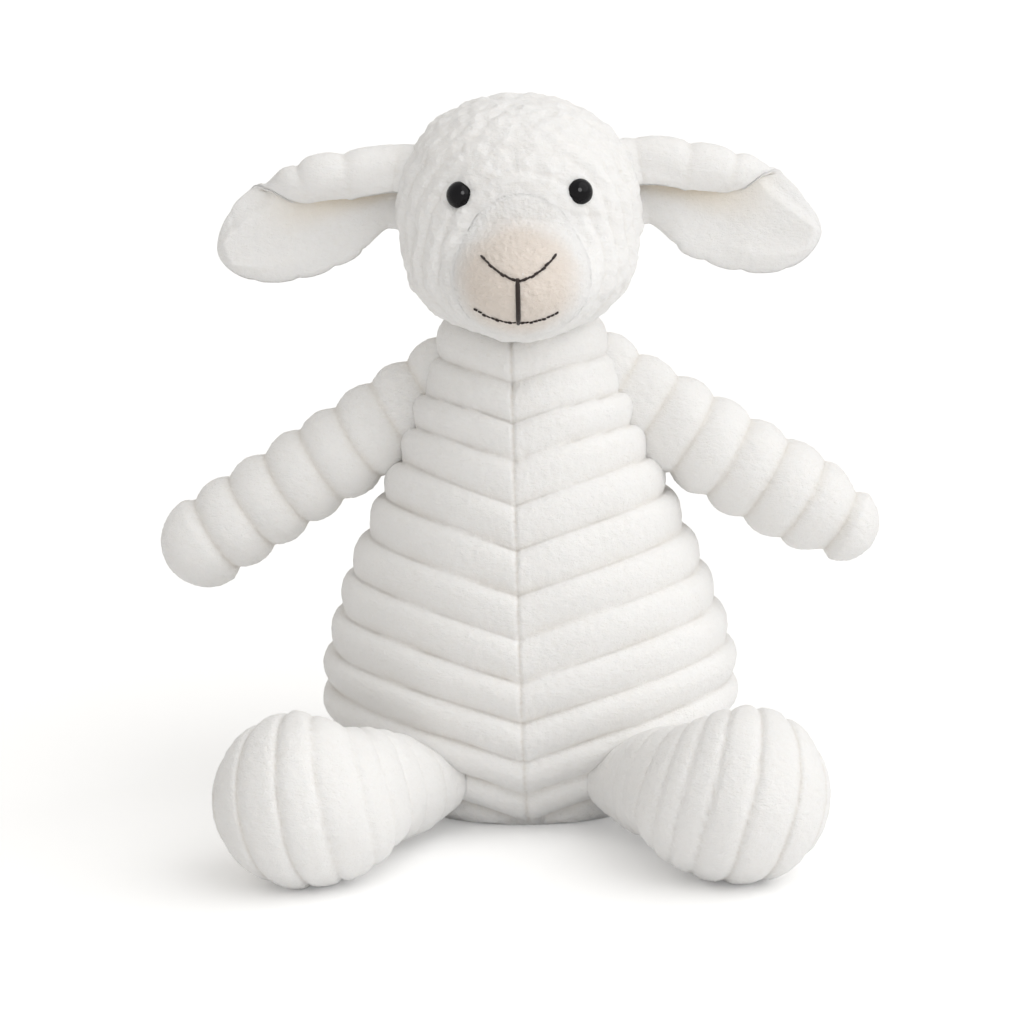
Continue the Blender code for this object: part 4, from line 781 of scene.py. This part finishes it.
def rim_of(edge, end, width):
    """Rounds a flat form off towards its two long edges and its tip."""
    near = np.clip(np.minimum(edge, 1.0 - edge) / width, 0.0, 1.0)
    return np.sqrt(1.0 - (1.0 - near) ** 2) * np.sqrt(1.0 - (1.0 - end) ** 2)


lining_pile = pile_finish("ear_lining_pile", WHITE_PILE, PAINTED_CREASE_SHADE, LINING_HOLLOW_SHADE, grain=0.8)
within = slice(1, EAR_COLUMNS - 1)
edge = np.linspace(0.0, 1.0, EAR_COLUMNS)[None, :]
for side in SIDES:
    normals = cloth_normals(ear_middle(side, 0.0)[0])
    middle, painted_hollow_shade, share = ear_middle(side, EAR_SCALLOP)
    blunt = int(np.searchsorted(share[:, 0], EAR_BLUNT_FROM))
    normals[blunt:] = normals[blunt]
    root, along, _, outward = ear_frame(side)
    end = np.clip((1.0 - share) / 0.06, 0.0, 1.0)
    pressed = 1.0 - 0.50 * eased((share - 0.40) / 0.20) * eased((edge - 0.72) / 0.16)
    rim = rim_of(edge, end, 0.08) * pressed
    crease = crease_of(ear_ribs(share) + 0.05 * wander(middle, 0.010, 8.0), 3.0)
    soft = EAR_SOFTNESS * wander(middle, 0.009, 14.0)
    raised = (EAR_HALF + EAR_BACK_FULL - EAR_RIB_SINK * crease + soft) * rim
    back = middle + normals * raised[..., None]
    front = middle + normals * ((EAR_HALF - EAR_BACK_DEEP) * rim)[..., None]
    # Shade painted into the creases between the ribs of the back cloth.
    shade = (crease ** 2 * 0.30 * rim)[:, within]
    rings = faced(loop_rings(back[:, within], front[:, within]))
    ear_back = sewn_form(f"{side}_ear_back_cloth", rings, white_pile,
                         crease=loop_rings(shade, np.zeros_like(shade)))
    plump = eased(np.minimum(edge, 1.0 - edge) / 0.16) * eased(end * 0.7)
    full = LINING_INNER + LINING_OUTER * eased((share - 0.45) / 0.2)
    thick = (LINING_EDGE + (full + 0.5 * soft) * plump) * pressed
    tip = np.sqrt(1.0 - (1.0 - end) ** 2)
    beyond = along * 0.0005 * share[..., None]
    lining_back = front + normals * (LINING_GAP * tip)[..., None] + beyond
    lining_front = front - normals * (thick * (0.15 + 0.85 * tip))[..., None] + beyond
    rings = faced(loop_rings(lining_back, lining_front))
    ear_lining = sewn_form(f"{side}_ear_lining_cloth", rings, lining_pile, fluff=0.00016,
                           stain_and_hollow_shade=loop_rings(np.zeros_like(painted_hollow_shade), painted_hollow_shade))
    for piece, node, slot in ((ear_back, "ear_back", "ribbed_pile"),
                              (ear_lining, "ear_lining", "ear_lining")):
        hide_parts(f"{side}_{node}")
        tuple(faced(root - outward * 0.0030))
        tuple(faced(root + along * 0.0060))
        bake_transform(piece)


# Arms: straight tubes of the ribbed cloth, sewn flat to the body's side along a slanting
# seam. A front and a back half are joined along the edges, and the tip is rounded.
ARM_ROUND = {"right": 0.0160, "left": 0.0170}
ARM_END_ROUND = {"right": 0.0156, "left": 0.0132}
ARM_LONG = {"right": 0.0800, "left": 0.0757}
ARM_DROP = {"right": math.radians(32.5), "left": math.radians(31.5)}
ARM_FIRST_CREASE, ARM_PITCH, ARM_RIBS = 0.0035, 0.0144, 5
ARM_RIB_SINK, ARM_SEAM_SINK, ARM_SEAM_WIDE, ARM_LUMPS = 0.0024, 0.0006, 0.075, 0.0006
ARM_ROOT_DEEP, ARM_END_TAPER = 0.0085, 0.015
ARM_MEAN_SINK, SHOULDER_OVERLAP = 0.0012, 0.0036
SHOULDER_TOP, SHOULDER_LOW, SHOULDER_OUT = 0.1530, 0.1105, 0.0018


def shoulder_frame(side):
    """The middle of the shoulder seam, and the arm's long and upward directions."""
    sign = SIDES[side]
    top, low = (np.array((sign * body_half_sizes(high)[0], 0.0, high))
                for high in (SHOULDER_TOP, SHOULDER_LOW))
    hinge = unit(top - low)
    outward = np.array((sign * hinge[2], 0.0, -sign * hinge[0]))
    drop = ARM_DROP[side]
    along = np.array((sign * math.cos(drop), 0.0, -math.sin(drop)))
    upward = np.array((sign * math.sin(drop), 0.0, math.cos(drop)))
    return (top + low) / 2.0 + outward * SHOULDER_OUT, along, upward, outward


def inside_body(points, sunk):
    """Whether each point lies within the body's surface, sunk a little."""
    height = np.clip(points[..., 2], 0.0, 0.17)
    wide, deep = body_half_sizes(height)
    return ((points[..., 0] / (wide - sunk)) ** 2
            + ((points[..., 1] + body_ahead(height)) / (deep - sunk)) ** 2) < 1.0


def arm_form(side):
    """Rings of the arm, each column starting where it meets the body."""
    middle, along, upward, _ = shoulder_frame(side)
    ahead = np.array((0.0, -1.0, 0.0))
    turn = turns_of(132)
    long, tube_round, end_round = ARM_LONG[side], ARM_ROUND[side], ARM_END_ROUND[side]

    def place(at, sunk):
        """Points at a length along the arm for each column, sunk below its crests."""
        taper = eased((at - long + ARM_END_TAPER) / ARM_END_TAPER)
        radius = tube_round + (end_round - tube_round) * taper
        full = ARM_ROOT_DEEP + (radius - ARM_ROOT_DEEP) * eased((at + 0.012) / 0.038)
        close = np.sqrt(1.0 - np.clip((at - long) / end_round, 0.0, 1.0) ** 2)
        tall = np.maximum(radius * close - sunk, 0.0)
        deep = np.maximum(full * close - sunk * full / radius, 0.0)
        return (middle + along * at[..., None]
                + upward * (tall * np.cos(turn))[..., None]
                + ahead * (deep * np.sin(turn))[..., None])

    low, high = np.full(len(turn), -0.030), np.full(len(turn), 0.050)
    for _ in range(30):
        trial = (low + high) / 2.0
        within = inside_body(place(trial, ARM_MEAN_SINK), SHOULDER_OVERLAP)
        low, high = np.where(within, trial, low), np.where(within, high, trial)
    rows = np.concatenate((np.arange(-0.028, long, 0.0009),
                           long + end_round * tip_steps(26)[:-1]))
    at = np.maximum(rows[:, None], low[None, :] + 0.00002 * np.arange(len(rows))[:, None])
    plain = place(at, 0.0)
    crease = crease_of((at - ARM_FIRST_CREASE) / ARM_PITCH + 0.05 * wander(plain, 0.016, 9.0))
    last = ARM_FIRST_CREASE + ARM_RIBS * ARM_PITCH
    crease = crease * (1.0 - eased((at - last - 0.0015) / 0.003))
    seam = np.exp(-(np.sin(turn) / ARM_SEAM_WIDE) ** 2) * np.ones_like(at)
    swell = ARM_LUMPS * wander(plain, 0.013, 10.0)
    rings = place(at, ARM_RIB_SINK * crease + ARM_SEAM_SINK * seam - swell)
    end = middle + along * (long + end_round - 0.0002)
    # Shade painted into the rib creases and along the seam.
    return rings, np.maximum(crease ** 3, 0.4 * seam), end


for side in SIDES:
    rings, shade, end = arm_form(side)
    arm = sewn_form(f"{side}_arm_cover", rings, white_pile, last=end, crease=shade)
    middle, _, _, outward = shoulder_frame(side)
    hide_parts(f"{side}_arm_front", f"{side}_arm_back", f"{side}_arm_stuffing")
    tuple(middle - outward * 0.001)
    tuple(middle + outward * 0.012)
    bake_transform(arm)


# Legs: floppy tubes sewn to the front of the body, which bend outwards and swell into
# round feet with a bag of pellets. The ribs cross the thigh and run up over the foot.
LEG_HALF, FOOT_ROUND = 0.0176, 0.0280
LEG_SWELL = ((0.0, -0.15), (0.3, 0.0), (0.6, 0.32), (0.85, 0.93), (1.0, 1.0))
LEG_SAG = ((0.0, -0.0060), (0.25, -0.0032), (0.5, -0.0004), (0.8, -0.0012), (1.0, 0.0))
LEG_FLAT = ((0.0, 0.98), (0.25, 1.04), (0.5, 1.0), (0.8, 0.96), (1.0, 1.0))
# Degrees round a point behind the foot at which each crease runs.
LEG_CREASE_FANS = {
    "right": (-100, -70, -50, -34, -25, -18, -12, -3, 5, 14, 23, 32, 41),
    "left": (-90, -68, -50, -38, -29, -21, -15, -10, -4, 4, 13, 22, 31, 40),
}
FOOT_LEAN = {"right": math.tan(math.radians(9.0)), "left": math.tan(math.radians(14.0))}
HIP_HIGH, HIP_TURN, HIP_SINK, HIP_TALL = 0.0235, math.radians(29.0), 0.0011, 0.0128
FOOT_SIDE, FOOT_AHEAD, FOOT_POINT = 0.0684, -0.0970, math.radians(17.0)
LEG_BEND, LEG_IN = 0.0220, 0.09
FAN_BEHIND, FAN_BESIDE = 0.0650, 0.0048
THIGH_RIB_SINK, FOOT_RIB_SINK, LEG_LUMPS = 0.0009, 0.0010, 0.0007


def hip_frame(side):
    """The middle of the hip seam on the body, and its outward direction."""
    wide, deep = body_half_sizes(HIP_HIGH)
    turn = math.atan2(math.sin(HIP_TURN) * wide, math.cos(HIP_TURN) * deep)
    spot = body_place(HIP_HIGH, turn, HIP_SINK) * np.array((SIDES[side], 1.0, 1.0))
    return spot, unit(np.array((spot[0] / wide ** 2, spot[1] / deep ** 2, 0.0)))


def leg_axis(side, share):
    """Places on the leg's bent axis, and the way it heads there."""
    sign = SIDES[side]
    start, outward = hip_frame(side)
    end = np.array((sign * FOOT_SIDE, FOOT_AHEAD, FOOT_ROUND - 0.0005))
    heading = np.array((sign * math.cos(FOOT_POINT), -math.sin(FOOT_POINT), 0.0))
    first = start + outward * LEG_BEND
    second = end - heading * LEG_BEND
    share = share[:, None]
    rest = 1.0 - share
    place = (start * rest ** 3 + first * 3 * rest ** 2 * share + second * 3 * rest * share ** 2
             + end * share ** 3)
    head = ((first - start) * rest ** 2 + (second - first) * 2 * rest * share
            + (end - second) * share ** 2) * np.array((1.0, 1.0, 0.0))
    return place, unit(head)


def leg_form(side):
    """Rings of the leg from the hip seam to the end of the foot."""
    span = np.concatenate((np.linspace(-0.06, 0.0, 6)[:-1], np.linspace(0.0, 1.0, 92),
                           1.0 + tip_steps(62)[1:-1]))
    within = np.minimum(span, 1.0)
    beyond = np.clip(span - 1.0, 0.0, 1.0)
    close = np.sqrt(1.0 - beyond ** 2)
    place, heading = leg_axis(side, np.clip(span, 0.0, 1.0))
    start, outward = hip_frame(side)
    place = place + outward * np.minimum(span, 0.0)[:, None] * LEG_IN
    place[:, 2] += curve_through(LEG_SAG, within)
    place = place + heading * (beyond * FOOT_ROUND)[:, None]
    half = LEG_HALF + (FOOT_ROUND - LEG_HALF) * curve_through(LEG_SWELL, within)
    out = (place - start) @ outward
    tall = HIP_TALL + (half - HIP_TALL) * eased((out + 0.007) / 0.018)
    tall = tall * curve_through(LEG_FLAT, within)
    turn = turns_of(176)
    across = np.stack((-heading[:, 1], heading[:, 0], np.zeros(len(span))), axis=-1)

    def around(wide, high):
        """Rings round the axis from half-widths and half-heights."""
        return (place[:, None] + across[:, None] * (wide * np.cos(turn))[..., None]
                + np.array((0.0, 0.0, 1.0)) * (high * np.sin(turn))[..., None])

    wide, high = (half * close)[:, None], (tall * close)[:, None]
    plain = around(wide, high)
    lower = FOOT_ROUND - plain[..., 2]
    beside = plain[..., 0] * SIDES[side] - FOOT_SIDE + FAN_BESIDE + lower * FOOT_LEAN[side]
    fan = np.degrees(np.arctan2(beside, FOOT_AHEAD + FAN_BEHIND - plain[..., 1]))
    fans = LEG_CREASE_FANS[side]
    phase = np.interp(fan, fans, range(len(fans)))
    crease = crease_of(phase + 0.05 * wander(plain, 0.018, 11.0), 3.6)
    firm = eased((fan + 16.0) / 30.0)
    sunk = (THIGH_RIB_SINK + FOOT_RIB_SINK * firm) * crease - LEG_LUMPS * wander(plain, 0.016, 12.0)
    sunk = sunk * np.minimum(1.0, close + 0.4)[:, None]
    rings = around(np.maximum(wide - sunk, 0.0), np.maximum(high - sunk, 0.0))
    rings[..., 2] = np.maximum(rings[..., 2], 0.0002)
    # Shade painted into the creases, fuller where they are firm on the foot.
    shade = crease ** 3 * (0.25 + 0.75 * firm)
    return rings, shade, place[-1] + heading[-1] * 0.0003


for side in SIDES:
    rings, shade, end = leg_form(side)
    leg = sewn_form(f"{side}_leg_cover", rings, white_pile, last=end, crease=shade, fluff=0.00020)
    start, outward = hip_frame(side)
    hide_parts(f"{side}_leg_skin", f"{side}_leg_stuffing", f"{side}_foot_pellet_bag")
    tuple(start - outward * 0.001)
    tuple(start + outward * 0.014)
    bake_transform(leg)


# Tail: a small drop of the same cloth with a little stuffing, sewn by its flat upper end
# into the back seam. The photo doesn't show it, so its shape is guessed.
TAIL_HIGH, TAIL_DROP, TAIL_LONG = 0.0440, math.radians(48.0), 0.0260
TAIL_HALF_WIDE, TAIL_ROOT_THICK, TAIL_PLUMP, TAIL_PRESSED_IN = 0.0085, 0.0030, 0.0030, 0.0004


def tail_form():
    """Rings of the tail, flat at its root and round at its end."""
    behind = body_half_sizes(TAIL_HIGH)[1] - TAIL_PRESSED_IN
    root = np.array((0.0, behind, TAIL_HIGH))
    along = np.array((0.0, math.cos(TAIL_DROP), -math.sin(TAIL_DROP)))
    upward = np.array((0.0, math.sin(TAIL_DROP), math.cos(TAIL_DROP)))
    side = np.array((1.0, 0.0, 0.0))
    share = np.concatenate((np.linspace(-0.1, 0.6, 26), 0.6 + 0.4 * tip_steps(22)[1:-1]))
    close = np.sqrt(1.0 - np.clip((share - 0.6) / 0.4, 0.0, 1.0) ** 2)
    tall = TAIL_HALF_WIDE * close
    thick = (TAIL_ROOT_THICK + TAIL_PLUMP * eased(share / 0.45)) * close
    place = root + along * (TAIL_LONG * share)[:, None]
    turn = turns_of(56)
    rings = (place[:, None] + upward * (tall[:, None] * np.cos(turn))[..., None]
             + side * (thick[:, None] * np.sin(turn))[..., None])
    return rings, place[0], root + along * (TAIL_LONG - 0.0001), root


rings, first, last, root = tail_form()
tail = sewn_form("tail_cover", rings, white_pile, first, last)
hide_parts("tail_skin", "tail_stuffing")
tuple(root - np.array((0.0, 0.001, 0.0)))
tuple(root + np.array((0.0, 0.008, 0.0)))
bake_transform(tail)


# Studio: a white floor that keeps soft shadows, a bright sky of cloth, one broad lamp from
# the upper right of the picture, and a small one that only the eyes and the pile's sheen
# answer to. The camera stands a little above the sheep's middle.
WHITE, BLACK = (1.0, 1.0, 1.0), (0.0, 0.0, 0.0)
FLOOR_GLOW = 0.17
SKY_SIDEWAYS, SKY_AHEAD, SKY_HIGH = 0.40, 0.32, 0.06
SKY_DIM, SKY_BRIGHT = (0.44, 0.42, 0.39), (0.89, 0.89, 0.895)


def seen_ray(wire):
    """1 for rays of the camera, of mirrors and through glass, 0 for the rest."""
    camera, mirrored, through = (wire.add("ShaderNodeLightPath", out=k) for k in (0, 3, 6))
    return wire.sum("MINIMUM", camera + mirrored + through, 1.0)


def floor_finish():
    """White that lights the object a little less than it shows, and glows where seen."""
    finish, shader, wire = new_finish("white_floor", Roughness=0.9, Specular_IOR_Level=0.0,
                                      Emission_Strength=FLOOR_GLOW)
    seen = seen_ray(wire)
    place = wire.add("ShaderNodeTexCoord", out=3)
    grain = wire.noise(place, 30.0)
    colour = grain.blend((0.95, 0.95, 0.95), (0.955, 0.955, 0.955))
    seen.blend(colour, (0.99, 0.99, 0.985)).feed(shader, "Base Color")
    seen.blend(BLACK, WHITE).feed(shader, "Emission Color")
    return finish


floor_mesh = bpy.data.meshes.new("studio_floor")
floor_mesh.from_pydata([(-6, -6, 0), (6, -6, 0), (6, 6, 0), (-6, 6, 0)], [], [(0, 1, 2, 3)])
floor_mesh.materials.append(floor_finish())
floor = placed("studio_floor", floor_mesh)

world = bpy.data.worlds.new("studio_sky")
world.use_nodes = True
sky = Wire(world.node_tree)
seen = seen_ray(sky)
way_out = sky.add("ShaderNodeTexCoord", out=0)
sideways, ahead, height = (sky.add("ShaderNodeSeparateXYZ", None, {0: way_out}, out=k)
                           for k in range(3))
side_glow = sideways * SKY_SIDEWAYS - ahead * SKY_AHEAD + height * SKY_HIGH + 0.5
backdrop = world.node_tree.nodes["Background"]
seen.blend(side_glow.blend(SKY_DIM, SKY_BRIGHT), WHITE).feed(backdrop, "Color")
backdrop.inputs["Strength"].default_value = 1.0
bpy.context.scene.world = world


def new_lamp(name, kind, place, target, **values):
    """A lamp at a place, turned to shine at its target."""
    data = bpy.data.lights.new(name, kind)
    for label, value in values.items():
        setattr(data, label, value)
    lamp = placed(name, data)
    lamp.location = place
    lamp.rotation_euler = (Vector(target) - Vector(place)).to_track_quat("-Z", "Y").to_euler()
    return lamp


new_lamp("window_lamp", "SUN", (0.90, -0.45, 0.95), (0.0, 0.0, 0.0), energy=1.10,
         angle=math.radians(70.0))
glint_lamp = new_lamp("glint_lamp", "AREA", (0.34, -1.05, 0.72), (0.0, -0.04, 0.21),
                      shape="DISK", energy=9.0, size=0.60)
glint_lamp.visible_diffuse = False

CAMERA_TARGET, CAMERA_LEFT = np.array((0.0, 0.0, 0.0977)), 0.0047
distance, rise, swing = 1.10, math.radians(12.0), math.radians(2.5)
roll = math.radians(1.4)
right = np.array((math.cos(swing), math.sin(swing), 0.0))
back = np.array((math.sin(swing) * math.cos(rise), -math.cos(swing) * math.cos(rise),
                 math.sin(rise)))
upward = np.cross(back, right)
eye_place = CAMERA_TARGET - right * CAMERA_LEFT + back * distance
lens_right = right * math.cos(roll) - upward * math.sin(roll)
lens_up = upward * math.cos(roll) + right * math.sin(roll)
camera_data = bpy.data.cameras.new("studio_camera")
camera_data.lens = 115.0
camera_data.sensor_width = 36.0
camera_data.clip_start = 0.05
camera = placed("studio_camera", camera_data)
camera.matrix_world = Matrix([[lens_right[k], lens_up[k], back[k], eye_place[k]]
                              for k in range(3)] + [[0.0, 0.0, 0.0, 1.0]])
bpy.context.scene.camera = camera
bpy.context.scene.view_settings.view_transform = "Standard"
